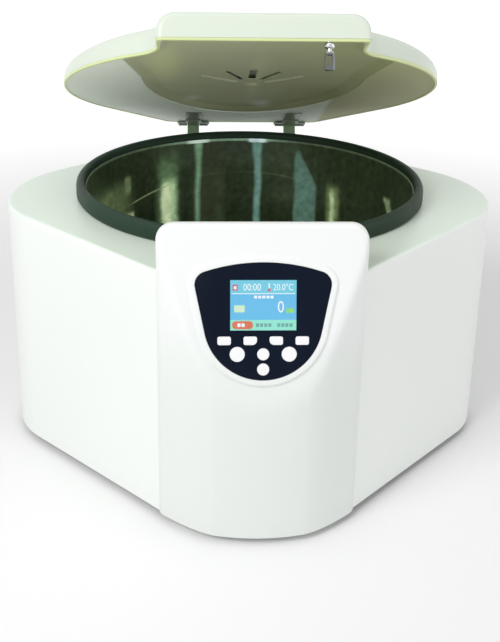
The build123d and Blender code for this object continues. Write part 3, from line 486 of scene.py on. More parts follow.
def bowlMaterial():
    # Polished steel: its dark olive colour is a painted reflection of the dim green surroundings, and its pale upright
    # streaks are painted highlights where it would catch the light
    material, tree, shader, place = newMaterial("bowlSteel")
    streakGroup = makeStreakGroup()
    grain = groupNode(tree, grainGroup, {"Vector": place, "Stretch": (30.0, 30.0, 4.0)})
    toneShare = rangeNode(tree, grain["Tone"], 0.0, 1.0)
    colour, lit = mixNode(tree, toneShare, (0.064, 0.094, 0.046), (0.082, 0.118, 0.060)), 0.0

    def math(operation, *values):
        return mathNode(tree, operation, *values)

    def distance(value, middle):
        return math("ABSOLUTE", math("SUBTRACT", value, middle))

    # the painted reflection marks waver a little, as a wall that isn't quite round makes them
    sway = rangeNode(tree, noiseNode(tree, place, 24.0, 1.0), -1.2 * mm, 1.2 * mm)
    wavy = vectorNode(tree, "ADD", {0: place, 1: addNode(tree, "CombineXYZ", {"X": sway})["Vector"]})

    # a painted reflection of the bowl's own rim: a faint arc in its wall that drops with the square of x
    split = addNode(tree, "SeparateXYZ", {"Vector": place})
    drop = math("MULTIPLY", math("MULTIPLY", split["X"], split["X"]), paintedRimReflection["fall"])
    off = distance(math("ADD", split["Z"], drop), paintedRimReflection["top"] * mm)
    near = stepNode(tree, off, paintedRimReflection["half"] * mm, (paintedRimReflection["half"] + paintedRimReflection["soft"]) * mm, 1.0, 0.0)
    parts = []
    for *sizes, most in (paintedRimReflection["strong"], paintedRimReflection["weak"]):
        middle, half, soft = (value * mm for value in sizes)
        parts.append(stepNode(tree, distance(split["X"], middle), half, half + soft, most, paintedRimReflection["least"]))
    masks = []
    for *sizes, grow, lean, tone in paintedWallReflections:
        settings = {"Vector": wavy, "Grow": grow, "Lean": lean}
        settings |= {label: value * mm for label, value in zip(streakSizes, sizes)}
        masks.append((groupNode(tree, streakGroup, settings)["Mask"], tone))
    masks.append((math("MULTIPLY", near, math("MAXIMUM", *parts)), paintedRimReflection["colour"]))
    for mask, tone in masks:
        colour, lit = mixNode(tree, mask, colour, tone), math("MAXIMUM", mask, lit)

    # fine cloudiness over all of it; the painted reflections also glow a little, a painted light standing in for the
    # room the steel would mirror
    cloud = rangeNode(tree, noiseNode(tree, place, 130.0, 4.0), 0.74, 1.26)
    mottled = vectorNode(tree, "SCALE", {0: colour, "Scale": cloud})
    connect(tree, shader, {
        "Base Color": mottled,
        "Emission Color": vectorNode(tree, "SCALE", {0: mottled, "Scale": lit}),
        "Emission Strength": 0.3,
        "Metallic": stepNode(tree, lit, 0.0, 0.6, 0.55, 0.10),
        "Roughness": rangeNode(tree, grain["Ripple"], 0.30, 0.42),
    })
    return material


def glowMaterial(name, colour, strength):
    # A lit display colour with the faint grid of its dots
    material, tree, shader, place = newMaterial(name)
    dim = tuple(c * 0.92 for c in colour)
    connect(tree, shader, {
        "Base Color": (0.02, 0.02, 0.02), "Roughness": 0.5, "Emission Strength": strength,
        "Emission Color": mixNode(tree, noiseNode(tree, place, 2500.0), dim, colour),
    })
    return material


def glassMaterial(name):
    material, tree, shader, place = newMaterial(name)
    smear = groupNode(tree, finishGroup, {"Vector": place})["Smudge"]
    connect(tree, shader, {
        "Base Color": (0.97, 0.99, 1.0), "Transmission Weight": 1.0, "IOR": 1.3,
        "Roughness": rangeNode(tree, smear, 0.02, 0.06),
    })
    return material


materials["bowlSteel"] = bowlMaterial()
materials["screenGlass"] = glassMaterial("screenGlass")


def dress(piece, finish, body, slot, *nodes):
    # Gives a new piece its finish, the body it rides on and the nodes it stands for
    piece.data.materials.clear()
    piece.data.materials.append(materials[finish])
    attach(piece, body)
    if nodes:
        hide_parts(*nodes)


# Casing: a rounded diamond in plan

casing = {
    "halfWidth": 270.5, "frontApex": 358.0, "frontSlope": 1.104, "noseDepth": 254.0,
    "rearDepth": 230.0, "rearHalfWidth": 64.0, "rearSlope": 0.9,
    "sideFrontRadius": 100.0, "sideRearRadius": 140.0, "rearRadius": 25.0,
    "low": 8.0, "wall": 3.0, "edgeRadius": 3.0, "holeRadius": 188.0, "seam": 0.05, "footRound": 0.8,
    "notch": ((-48, 48), (-255, -243), 195), "boltSlot": ((-8, 8), (-235.25, -226.75), 270, 2.0),
    "rearOpening": ((-47, 47), (225, 232), (35, 105)),
}


def casingLoop(inset):
    noseHalf = (casing["frontApex"] - casing["noseDepth"]) / casing["frontSlope"]
    frontY = casing["frontSlope"] * casing["halfWidth"] - casing["frontApex"]
    rearY = casing["rearDepth"] - casing["rearSlope"] * (casing["halfWidth"] - casing["rearHalfWidth"])
    right = [
        (noseHalf, -casing["noseDepth"]), (casing["halfWidth"], frontY),
        (casing["halfWidth"], rearY), (casing["rearHalfWidth"], casing["rearDepth"]),
    ]
    corners = right + [(-x, y) for x, y in reversed(right)]
    radii = [casing[corner] for corner in ("seam", "sideFrontRadius", "sideRearRadius", "rearRadius")]
    return roundedLoop(corners, radii + radii[::-1], inset, 24)


def buildCasing():
    # Loops of the plan outline, drawn in and raised row by row: up inside the wall, round the lower edge,
    # up the outside and over the rounded upper edge; the bowl's hole is cut through the deck
    wall, low, top = casing["wall"], casing["low"], deckZ
    edge, hole, foot = casing["edgeRadius"], casing["holeRadius"], casing["footRound"]
    rows = [(wall, top - wall), (wall, low), (foot, low), (0.0, low + foot)]
    rows += [(0.0, z) for z in np.linspace(low + 20, top - edge - 8, 6)]
    rows += [*arc((edge, top - edge), edge, 180, 90, 7)]
    rows += [(edge + 1.0, top)]
    piece = loftPiece("casingShell", rowsOf(casingLoop, rows))
    notchX, notchY, notchLow = casing["notch"]
    slotX, slotY, slotLow, slotRound = casing["boltSlot"]
    cutters = [
        loftPiece("bowlCut", turned([(hole, top - 2 * wall), (hole, top + wall)])),
        blockPiece("notchCut", notchX, notchY, (notchLow, top + 1)),
        blockPiece("slotCut", [boltX + x for x in slotX], slotY, (slotLow, top + 1), slotRound),
        blockPiece("rearCut", *casing["rearOpening"]),
    ]
    return cutWith(piece, cutters + ventCutters())


vents = {"count": 6, "length": 60.0, "height": 4.0, "pitch": 11.0, "bottom": 40.0, "reach": 8.0}


def ventCutters():
    # Rounded slots through both rear walls, turned to stand square to them
    cornerY = casing["rearDepth"] - casing["rearSlope"] * (casing["halfWidth"] - casing["rearHalfWidth"])
    centreX = (casing["rearHalfWidth"] + casing["halfWidth"]) / 2
    centreY = (casing["rearDepth"] + cornerY) / 2
    lean = atan2(casing["rearSlope"], 1)
    along, up = boxLoop(0, 0, vents["length"], vents["height"], vents["height"] * 0.49).T
    made = []
    for side in (1, -1):
        grids, faces = [], []
        for row in range(vents["count"]):
            faces += skinFaces(2, len(along), start=len(grids) * len(along))
            for depth in (-vents["reach"], vents["reach"]):
                x = side * centreX + along * cos(lean) + side * depth * sin(lean)
                y = centreY - side * along * sin(lean) + depth * cos(lean)
                grids.append(np.stack([x, y, vents["bottom"] + row * vents["pitch"] + up], 1))
        piece = makePiece("ventCut", np.array(grids), faces)
        piece.data.flip_normals()
        made.append(piece)
    return made


dress(buildCasing(), "casingPaint", "housing", "casing_paint", "casing")
print("casing made")


# Bowl: a turned steel pan with a domed middle

bowl = {"radius": 185.0, "depth": 200.0, "wall": 1.5, "corner": 40.0, "domeRadius": 54.0, "domeHeight": 62.0,
        "domeEdge": 8.0, "domeFoot": 5.0, "apron": 8.0, "boot": 22.0, "flange": 194.5}


def buildBowl():
    # The profile runs from the rim down the inner wall, over the dome and back up outside, and is turned whole
    radius, wall, corner, flange = bowl["radius"], bowl["wall"], bowl["corner"], bowl["flange"]
    floor = rimZ - bowl["depth"]
    dome, top, edge, foot = bowl["domeRadius"], floor + bowl["domeHeight"], bowl["domeEdge"], bowl["domeFoot"]
    inner = np.vstack([
        arc((radius + wall / 2, rimZ - wall / 2), wall / 2, 90, 180, 5),
        np.column_stack([np.full(12, radius), np.linspace(rimZ - 4, floor + corner + 4, 12)]),
        arc((radius - corner, floor + corner), corner, 0, -90, 16),
        [(dome + bowl["apron"], floor)],
        arc((dome + foot, floor + foot), foot, -90, -180, 6),
        [(dome, top - edge - 4.0)],
        arc((dome - edge, top - edge), edge, 0, 90, 8),
        [(bowl["boot"], top)],
    ])
    outer = np.vstack([
        [(bowl["boot"], top - wall)],
        arc((dome - edge, top - edge), edge - wall, 90, 0, 6),
        [(dome - wall, floor - wall)],
        arc((radius - corner, floor + corner), corner + wall, -90, 0, 12),
        [(radius + wall, deckZ), (flange, deckZ), (flange, deckZ + wall), (radius + wall, deckZ + wall)],
        arc((radius + wall / 2, rimZ - wall / 2), wall / 2, 0, 80, 4),
    ])
    profile = np.vstack([inner, outer])[::-1]
    return loftPiece("bowlPan", turned(profile), closeRows=True)


dress(buildBowl(), "bowlSteel", "housing", "bowl_steel", "bowl")

seal = {"foot": 1.5, "width": 11.4, "crest": 8.0, "reveal": 0.9, "wall": 1.7, "round": 1.6}


def buildSeal():
    # A bead with a rounded crest that grips the bowl's rim, a little undercut on its outer side
    inner, outer = bowl["radius"] + seal["reveal"], bowl["radius"] + seal["width"]
    half, middle = (outer - inner) / 2, (outer + inner) / 2
    angle = np.radians(np.linspace(0, 180, 21))
    crest = np.column_stack([middle + half * np.cos(angle), rimZ + seal["crest"] * np.sin(angle) ** 0.8])
    grip, foot, r = bowl["radius"] + seal["wall"], deckZ + seal["foot"], seal["round"]
    profile = np.vstack([
        [(grip, foot), (outer - r, foot)],
        arc((outer - r, foot + r), r, -60, 0, 4),
        [(outer, rimZ - 2.0)],
        crest,
        [(inner, rimZ + 0.05), (grip, rimZ + 0.05)],
    ])
    return loftPiece("bowlSeal", turned(profile), closeRows=True)


dress(buildSeal(), "sealRubber", "housing", "seal_rubber", "bowl_seal")
print("bowl and seal made")


# Console: an upright bowed front with side facets, cut by a tilted face above the knee

console = {
    "reach": 299.0, "halfWidth": 102.0, "back": 238.0, "top": 324.5, "low": 8.0, "bow": 8.0, "facetX": 52.0,
    "facetSlope": 0.82, "facetSwell": 2.4, "facetBlend": 4.0, "tiltBlend": 4.5, "edge": 7.0, "corner": 18.0,
    "crest": 5.0, "knee": 156.4, "tilt": radians(18), "wall": 3.0, "crowding": 0.35, "plainTo": 150, "fineFrom": 156,
    "boltHole": 2.25, "boltReach": (-235.0, -244.0),
}


def consoleGrid(inset=0.0, across=121, fine=64):
    # Each level's loop runs down the left side, along the front, up the right side and home along the back.
    # The front is the greatest of a shallow bow, two sloping facets and a plane tilted back with height.
    top, half = console["top"] - inset, console["halfWidth"] - inset
    corner, crest = console["corner"] - inset, console["crest"]
    curl = np.radians(np.linspace(0, 90, 20))
    z = np.concatenate([
        np.linspace(console["low"] + inset, console["plainTo"], 10),
        np.linspace(console["fineFrom"], top - corner - 2, fine),
        top - corner + corner * np.sin(curl)])[:, None]
    rise = np.clip(z - (top - corner), 0, corner)
    width = half - corner + np.sqrt(corner ** 2 - rise ** 2)
    crestRise = np.clip(z - (top - crest), 0, crest)
    tilted = -console["reach"] + inset / cos(console["tilt"]) + (z - console["knee"]) * tan(console["tilt"])
    tilted = tilted + crest - np.sqrt(crest ** 2 - crestRise ** 2)
    back = -console["back"] - inset
    edge = np.minimum(console["edge"], 0.8 * (back - tilted))
    share = np.linspace(-1, 1, across)[None, :]
    share = np.sin(share * pi / 2) * console["crowding"] + share * (1 - console["crowding"])

    def frontLine(x):
        bowed = -console["reach"] + inset + console["bow"] * (x / console["facetX"]) ** 2
        beyond = np.abs(x) - console["facetX"]
        along = np.clip(beyond / (console["halfWidth"] - console["facetX"]), 0, 1)
        swell = console["facetSwell"] * 4 * along * (1 - along)
        facet = -console["reach"] + inset * 1.2 + console["bow"] + console["facetSlope"] * beyond - swell
        return smoothMax(smoothMax(bowed, facet, console["facetBlend"]), tilted, console["tiltBlend"])

    x = share * (width - edge)
    front = np.stack([x, frontLine(x)], -1)
    d = np.linspace(1, -1, 13)[None, 1:] * edge
    lag = -((edge - np.abs(d)) ** 2) / (4 * edge)
    ahead, aside = np.where(d >= 0, lag, lag - np.abs(d)), np.where(d >= 0, lag - d, lag)
    cornerX = width + aside
    rightEdge = np.stack([cornerX, frontLine(cornerX) - ahead], -1)
    start = rightEdge[:, -1, 1][:, None]
    side = start + (back - start) * np.linspace(0, 1, 8)[None, 1:]
    rightSide = np.stack([np.broadcast_to(width, side.shape), side], -1)
    backX = np.linspace(1, -1, 14)[None, 1:-1] * width
    backRow = np.stack([backX, np.full(backX.shape, back)], -1)
    flip = np.array([-1, 1])
    loop = np.concatenate([
        rightSide[:, ::-1] * flip, rightEdge[:, ::-1] * flip, front, rightEdge, rightSide, backRow], 1)
    return np.concatenate([loop, np.broadcast_to(z[:, None], (*loop.shape[:2], 1))], -1)


panel = {
    "lobeRadius": 56.8, "lobeCentre": 84.8, "flare": radians(11.7), "top": 140.3, "crownRadius": 181.0,
    "corner": 12.5, "thickness": 2.2, "ledge": 3.0, "gap": 0.3, "edge": 0.35, "through": (-2, 4), "deep": (-8, 4),
}


def panelLoop(margin=0.0):
    # A shield from four kinds of arc: the round lobe, two corners and the crown, all moved out by the margin
    flare, lobe = panel["flare"], panel["lobeRadius"]
    along = np.array([sin(flare), cos(flare)])
    inward = np.array([-cos(flare), sin(flare)])
    foot = np.array([lobe * cos(flare), panel["lobeCentre"] - lobe * sin(flare)]) + panel["corner"] * inward
    crownY = panel["top"] - panel["crownRadius"]
    toCrown = foot - (0, crownY)
    reach = panel["crownRadius"] - panel["corner"]
    b = toCrown @ along
    step = -b + sqrt(b * b - toCrown @ toCrown + reach * reach)
    corner = foot + step * along
    tip = np.degrees(atan2(corner[1] - crownY, corner[0]))
    flareDeg = np.degrees(flare)
    return np.vstack([
        arc(corner, panel["corner"] + margin, -flareDeg, tip, 14),
        arc((0, crownY), panel["crownRadius"] + margin, tip, 180 - tip, 40)[1:-1],
        arc((-corner[0], corner[1]), panel["corner"] + margin, 180 - tip, 180 + flareDeg, 14),
        arc((0, panel["lobeCentre"]), lobe + margin, 180 + flareDeg, 360 - flareDeg, 64),
    ])


def onPanel(loop, height):
    # Places a flat outline at a height over the tilted face, up from the knee
    lean = console["tilt"]
    loop = np.asarray(loop, float)
    height = np.broadcast_to(height, loop.shape[:1])
    return np.stack([
        loop[:, 0],
        -console["reach"] + loop[:, 1] * sin(lean) - height * cos(lean),
        console["knee"] + loop[:, 1] * cos(lean) + height * sin(lean)], 1)


def panelPrism(name, loop, low, high):
    return loftPiece(name, np.stack([onPanel(loop, low), onPanel(loop, high)]))


lip = {"width": 6.5, "height": 3.0, "innerRound": 0.7, "outerRound": 2.4, "flare": 3.0, "root": -1.5}


def buildConsole():
    shell = loftPiece("consoleCover", consoleGrid(), creaseAngle=40)
    hollow = loftPiece("consoleHollow", consoleGrid(console["wall"], 41, 24))
    body = prismPiece("bodyCut", casingLoop(-0.3), 0, deckZ)
    opening = panelPrism("openingCut", panelLoop(-panel["ledge"]), *panel["deep"])
    ring = arc((boltX, boltZ), console["boltHole"], 0, 345, 24)
    grid = np.array([standing(ring, y) for y in console["boltReach"]])
    shell = cutWith(shell, [hollow, body, opening, loftPiece("boltCut", grid)], creaseAngle=40)
    # the lip's section: up its inner side, over two rounded edges and out into a flare that meets the face
    width, height, inner, outer = lip["width"], lip["height"], lip["innerRound"], lip["outerRound"]
    flared = width + lip["flare"]
    rows = np.vstack([
        [(panel["gap"], lip["root"])],
        arc((panel["gap"] + inner, height - inner), inner, 180, 90, 5),
        arc((width - outer, height - outer), outer, 90, 20, 7),
        [(width + 0.35, 0.32), (width + 1.2, 0.06), (flared, -0.25), (flared, lip["root"])],
    ])
    rim = loftPiece("panelLip", rowsOf(panelLoop, rows, onPanel), closeRows=True)
    return joinPieces("consoleCover", [shell, rim])


dress(buildConsole(), "consolePaint", "housing", "console_paint", "console_cover")
print("console made")


# Control panel with its display and keys, laid out on the tilted face

screen = {"width": 63.0, "height": 48.0, "centre": 99.8, "picture": 1.0, "base": 0.02, "layer": 0.03,
          "figures": 0.13, "glassLow": 1.3, "glow": 0.85, "whiteGlow": 0.95, "blockPitch": 0.062}
keys = {
    "proud": 0.8, "flange": 1.0, "flat": (12.9, 8.2), "round": 2.0, "cut": 4.5, "row": 66.0, "pitch": 24.8,
    "large": 7.2, "largeRow": 53.0, "small": 5.8, "drop": 14.6, "edge": 0.55, "foot": -1.5, "shoulder": -0.3,
}


def keyLoops():
    # Every key's name and a function that gives its outline at an inset
    loops = {}
    half, tall, row, large = keys["flat"][0] / 2, keys["flat"][1] / 2, keys["row"], keys["largeRow"]
    for place, cutCorner in enumerate((None, 1, 0, None)):
        x = (place - 1.5) * keys["pitch"]
        radii = [keys["cut"] if corner == cutCorner else keys["round"] for corner in range(4)]
        corners = [(x - half, row - tall), (x + half, row - tall), (x + half, row + tall), (x - half, row + tall)]
        loops[f"menu_key_{place + 1}"] = lambda inset, c=corners, r=radii: roundedLoop(c, r, inset, 7)
    discs = {
        "round_key_left": (-keys["pitch"], large, keys["large"]),
        "round_key_right": (keys["pitch"], large, keys["large"]),
        "round_key_upper": (0.0, large, keys["small"]),
        "round_key_lower": (0.0, large - keys["drop"], keys["small"]),
    }
    for name, (x, y, radius) in discs.items():
        loops[name] = lambda inset, c=(x, y), r=radius: arc(c, r - inset, 0, 352.5, 48)
    return loops


def buildKey(name, outline):
    top, edge = panel["thickness"] + keys["proud"], keys["edge"]
    flange, shoulder = -keys["flange"], keys["shoulder"]
    rows = [(flange, keys["foot"]), (flange, shoulder), (0.0, shoulder), (0.0, top - edge)]
    rows += [*arc((edge, top - edge), edge, 160, 100, 5)]
    rows += [(edge * 1.6, top + 0.02), (edge * 3.2, top + 0.06)]
    return loftPiece(name, rowsOf(outline, rows, onPanel))


def buildPanel():
    edge, top = panel["edge"], panel["thickness"]
    rows = [(0.0, 0.0), (0.0, top - edge), (-edge * 0.3, top - edge * 0.3), (-edge, top)]
    piece = loftPiece("controlPanel", rowsOf(panelLoop, rows, onPanel))
    openings = [boxLoop(0, screen["centre"], screen["width"], screen["height"], 0.3)]
    openings += [outline(-panel["gap"]) for outline in keyLoops().values()]
    return cutWith(piece, [panelPrism("panelCut", loop, *panel["through"]) for loop in openings])


dress(buildPanel(), "panelFilm", "housing", "panel_film", "control_panel")
for name, outline in keyLoops().items():
    dress(buildKey(name + "_cap", outline), "keyPlastic", name, "key_plastic", name)
print("panel and keys made")


displayTones = {
    "displaySky": (0.11, 0.58, 0.95), "displayHeader": (0.16, 0.69, 0.88), "displayFooter": (0.31, 0.91, 0.73),
    "displayWhite": (0.92, 0.97, 1.0), "displayOrange": (0.82, 0.16, 0.05), "displayGreen": (0.30, 0.84, 0.14),
    "displayCream": (0.74, 0.97, 0.69), "displayPink": (0.72, 0.10, 0.22), "displayGrey": (0.14, 0.45, 0.38),
}
displayAreas = [
    # left, right, top and bottom as shares of the display, the layer, the tone, the corners' radius and how many
    ("displayPicture", 0.0, 1.0, 0.0, 1.0, 1, "displaySky", 0.2, 1),
    ("displayHead", 0.0, 1.0, 0.0, 0.26, 2, "displayHeader", 0.2, 1),
    ("displayFoot", 0.0, 1.0, 0.79, 1.0, 2, "displayFooter", 0.2, 1),
    ("displayLine", 0.02, 0.98, 0.262, 0.278, 3, "displayWhite", 0.2, 1),
    ("displayMark", 0.035, 0.115, 0.09, 0.21, 3, "displayPink", 0.6, 1),
    ("displayMarkCore", 0.055, 0.095, 0.12, 0.18, 4, "displayWhite", 0.3, 1),
    ("displayStem", 0.578, 0.598, 0.06, 0.19, 3, "displayWhite", 0.3, 1),
    ("displayBulb", 0.565, 0.611, 0.165, 0.225, 4, "displayPink", 0.9, 1),
    ("displayNote", 0.36, 0.406, 0.31, 0.365, 3, "displayWhite", 0.3, 5),
    ("displayCreamBlock", 0.06, 0.22, 0.50, 0.64, 3, "displayCream", 0.6, 1),
    ("displayGreenBlock", 0.845, 0.965, 0.565, 0.65, 3, "displayGreen", 0.4, 1),
    ("displayPill", 0.03, 0.345, 0.815, 0.975, 3, "displayOrange", 3.4, 1),
    ("displaySoft0", 0.11, 0.157, 0.86, 0.93, 4, "displayWhite", 0.4, 2),
    ("displaySoft1", 0.39, 0.437, 0.86, 0.93, 4, "displayGrey", 0.4, 4),
    ("displaySoft2", 0.71, 0.757, 0.86, 0.93, 4, "displayGrey", 0.4, 4),
]
displayFigures = [
    # text, its middle as shares of the display, its size (mm) and how much it is squeezed
    ("displayClock", "00:00", 0.33, 0.148, 9.2, 0.84),
    ("displayHeat", "20.0\u00b0C", 0.80, 0.148, 8.6, 0.80),
    ("displayCount", "0", 0.765, 0.545, 15.5, 0.85),
]


def onDisplay(across, down):
    return (across - 0.5) * screen["width"], screen["centre"] + (0.5 - down) * screen["height"]


def buildArea(name, start, end, upper, lower, layer, finish, radius):
    # A thin lit shape on the display, under the glass
    x, y = onDisplay((start + end) / 2, (upper + lower) / 2)
    loop = boxLoop(x, y, (end - start) * screen["width"], (lower - upper) * screen["height"], radius)
    low = screen["picture"]
    made = panelPrism(name, loop, low, low + screen["base"] + screen["layer"] * layer)
    dress(made, finish, "housing", "display_plastic")


def buildFigures(name, text, across, down, size, squeeze):
    # Plain figures, made a mesh, then set on the panel
    curve = bpy.data.curves.new(name, "FONT")
    curve.body, curve.size, curve.extrude = text, size, 0.02
    curve.align_x, curve.align_y = "CENTER", "CENTER"
    holder = newObject(name, curve)
    mesh = evaluatedMesh(holder)
    bpy.data.objects.remove(holder)
    points = meshPoints(mesh)
    x, y = onDisplay(across, down)
    flat = np.column_stack([x + points[:, 0] * squeeze, y + points[:, 1]])
    placed = onPanel(flat, screen["picture"] + screen["figures"] + points[:, 2])
    faces = [list(face.vertices) for face in mesh.polygons]
    dress(makePiece(name, placed, faces), "displayWhite", "housing", "display_plastic")


for name, tone in displayTones.items():
    materials[name] = glowMaterial(name, tone, screen["whiteGlow" if name == "displayWhite" else "glow"])
for name, left, right, *rest, count in displayAreas:
    for block in range(count):
        shift = block * screen["blockPitch"]
        buildArea(f"{name}{block}" if count > 1 else name, left + shift, right + shift, *rest)
for row in displayFigures:
    buildFigures(*row)


def buildGlass():
    rows = [(0.0, screen["glassLow"]), (0.0, panel["thickness"] - 0.2), (0.2, panel["thickness"])]
    width, height = screen["width"] - 0.2, screen["height"] - 0.2
    grid = rowsOf(lambda inset: boxLoop(0, screen["centre"], width, height, 0.5, inset), rows, onPanel)
    return loftPiece("screenGlass", grid)


dress(buildGlass(), "screenGlass", "housing", "screen_glass", "screen_window")
print("display made")


# Lid: worked out shut, then turned open about the hinge line

lid = {
    "underside": 297.5, "radius": 207.0, "front": 236.0, "tabHalf": 100.0, "tabCorner": 5.0, "tabFillet": 45.0,
    "rear": 222.0, "rearHalf": 95.0, "rearCorner": 20.0, "band": 17.5, "bandRound": 9.0, "wall": 3.0,
    "lip": 2.4, "open": radians(24), "hingeY": 228.0, "hingeZ": 299.5,
    "crown": 9.0, "crownFrom": 90.0, "crownSpan": 120.0, "crownFront": (-215.0, -180.0),
    "crownBack": (40.0, 190.0), "plain": 3.0, "leastCorner": 0.3,
}
hump = {"height": 27.0, "half": 101.0, "side": 17.0, "edge": 5.3, "proud": 0.3, "fadeFrom": 40.0, "back": 120.0,
        "tighten": 0.55, "sunk": 1.5, "tabRun": (-215, -190), "frontStep": 1.0}
dish = {
    "half": 120.0, "waist": 60.0, "back": 152.0, "flare": 0.18, "rim": 3.8, "blend": 9.0, "smooth": 7, "depth": 8.0,
    "slope": 15.0, "middle": -40.0, "recess": 0.6, "thick": 1.2, "sag": 1.2, "overlap": 2.5, "flaredTo": 240.0,
}


def swingOpen(piece):
    # A piece made with the lid shut is turned about the hinge line so that its front rises
    points = (meshPoints(piece.data) - (0, axisY, 0)) / mm
    y, z = points[:, 1] - lid["hingeY"], points[:, 2] - lid["hingeZ"]
    points[:, 1] = lid["hingeY"] + y * cos(lid["open"]) + z * sin(lid["open"])
    points[:, 2] = lid["hingeZ"] - y * sin(lid["open"]) + z * cos(lid["open"])
    piece.data.vertices.foreach_set("co", (points * mm + (0, axisY, 0)).ravel())
    piece.data.update()
    return piece


def lidLoop(inset):
    # The right half from the front's middle: tab corner, hollow corner, disc and rear corner; then mirrored
    radius, fillet = lid["radius"], lid["tabFillet"]
    corner = max(lid["tabCorner"] - inset, lid["leastCorner"])
    cx, cy = lid["tabHalf"] - inset - corner, -lid["front"] + inset + corner
    hollowX = lid["tabHalf"] + fillet
    hollowY = -sqrt((radius + fillet) ** 2 - hollowX ** 2)
    meet = np.degrees(atan2(hollowY, hollowX))
    rearAngle = atan2(lid["rear"], lid["rearHalf"])
    distance = sqrt(lid["rear"] ** 2 + lid["rearHalf"] ** 2)
    tangent = np.degrees(rearAngle - np.arccos(radius / distance))
    # the rear corner's circle touches the straight rear side and the slanting one
    half = radians(90 - tangent) / 2
    rearX = lid["rearHalf"] - lid["rearCorner"] * tan(half)
    rearY = lid["rear"] - lid["rearCorner"]
    right = np.vstack([
        arc((cx, cy), corner, -90, 0, 8),
        arc((hollowX, hollowY), fillet + inset, 180, 180 + meet, 14),
        arc((0, 0), radius - inset, meet, tangent, 90),
        arc((rearX, rearY), max(lid["rearCorner"] - inset, lid["leastCorner"]), tangent, 90, 12),
    ])
    return mirrored(right)


def crowned(grid):
    # Lifts the band and top by a crown that falls with the square of x beyond the middle, and fades at both ends
    x, y, z = grid[..., 0], grid[..., 1], grid[..., 2]
    aside = np.clip((np.abs(x) - lid["crownFrom"]) / lid["crownSpan"], 0, 1)
    lift = lid["crown"] * (1 - aside ** 2) * smoothShare(y, *lid["crownFront"])
    lift *= 1 - smoothShare(y, *lid["crownBack"])
    plain = lid["lip"] + lid["plain"]
    share = np.clip((z - lid["underside"] - plain) / (lid["band"] - plain), 0, 1)
    return np.stack([x, y, z + lift * share], -1)


def buildLidShell():
    # The band, the crowned top and the raised hump as one skin, hollowed out from below
    low, top = lid["underside"] + lid["lip"], lid["underside"] + lid["band"]
    curl, wall = lid["bandRound"], lid["wall"]
    rows = [(0.5, low), (0.0, low + 0.5), (0.0, low + lid["plain"])]
    rows += [*arc((curl, top - curl), curl, 180, 90, 12)]
    band = list(rowsOf(lidLoop, rows))
    last, middle = band[-1], np.array([0.0, dish["middle"], top])
    band += [middle + (last - middle) * k for k in np.linspace(0.975, 0.025, 30)]
    shell = loftPiece("lidShell", crowned(np.array(band)))
    inner = [(wall, low - 5.0), (wall, top - wall - 6.0), (wall + 1.8, top - wall - 1.8), (wall + 6.0, top - wall)]
    hollow = loftPiece("lidHollow", rowsOf(lidLoop, inner))
    return cutWith(cutWith(shell, [buildHump()], operation="UNION"), [hollow])


def buildHump():
    # Carried along y: a flat-topped section whose upper corners are rounded; its front edge is rounded by
    # drawing the section in, and it fades into the lid's top at the back
    low, top = lid["underside"] + lid["lip"] + 0.3, lid["underside"] + hump["height"]
    proud, back, edge = hump["proud"], hump["back"], hump["edge"]
    front = -lid["front"] - proud
    lead = front + edge - edge * np.cos(np.radians(np.linspace(0, 90, 8)))
    middle = np.linspace(front + edge + 4, hump["fadeFrom"], 24)
    y = np.concatenate([[front], lead, middle, np.linspace(hump["fadeFrom"] + 5, back, 16)])
    drawn = edge - np.sqrt(np.maximum(edge ** 2 - np.maximum(front + edge - y, 0) ** 2, 0))
    drawn[0] += hump["frontStep"]  # a flat ring, so that the rounded edge doesn't shade the whole front
    fade = smoothShare(y, hump["fadeFrom"], back)
    height = top - (hump["height"] - lid["band"] + hump["sunk"]) * fade - drawn
    half = np.interp(y, hump["tabRun"], (lid["tabHalf"] + proud, hump["half"])) - drawn
    side = hump["side"] * (1 - hump["tighten"] * fade) - drawn * 0.5
    sections = []
    feet = np.where(np.arange(len(y)) == 0, low + hump["frontStep"], low)
    for place, h, t, r, foot in zip(y, half, height, side, feet):
        right = np.vstack([[(h, foot)], arc((h - r, t - r), r, 0, 90, 12)])
        sections.append(standing(mirrored(right), place))
    piece = loftPiece("lidHump", np.array(sections))
    piece.data.flip_normals()
    return piece


def buildLip():
    # A slim bead round the lower edge of the band, a hair inside it
    low, high, wall = lid["underside"], lid["underside"] + lid["lip"], lid["wall"]
    rows = [(wall, high), (wall, low), (0.7, low), (0.3, low + 0.2), (0.1, low + 0.6), (0.1, high)]
    return loftPiece("lidLip", rowsOf(lidLoop, rows), closeRows=True)


dress(swingOpen(buildLidShell()), "lidPaint", "lid", "casing_paint", "lid_shell")
dress(swingOpen(buildLip()), "lipReflectionTone", "lid", "casing_paint")


def byAngle(loop, count=720):
    # An outline as a distance for each of many even angles, seen from the dish's middle; its straight runs are
    # divided first, because a straight line isn't one in angle and distance
    share = np.linspace(0, 1, 40, endpoint=False)[:, None]
    dense = (loop[:, None] + share * (np.roll(loop, -1, 0) - loop)[:, None]).reshape(-1, 2)
    x, y = dense[:, 0], dense[:, 1] - dish["middle"]
    angle = np.arctan2(y, x)
    order = np.argsort(angle)
    even = np.linspace(-pi, pi, count, endpoint=False)
    return np.interp(even, angle[order], np.hypot(x, y)[order], period=2 * pi)


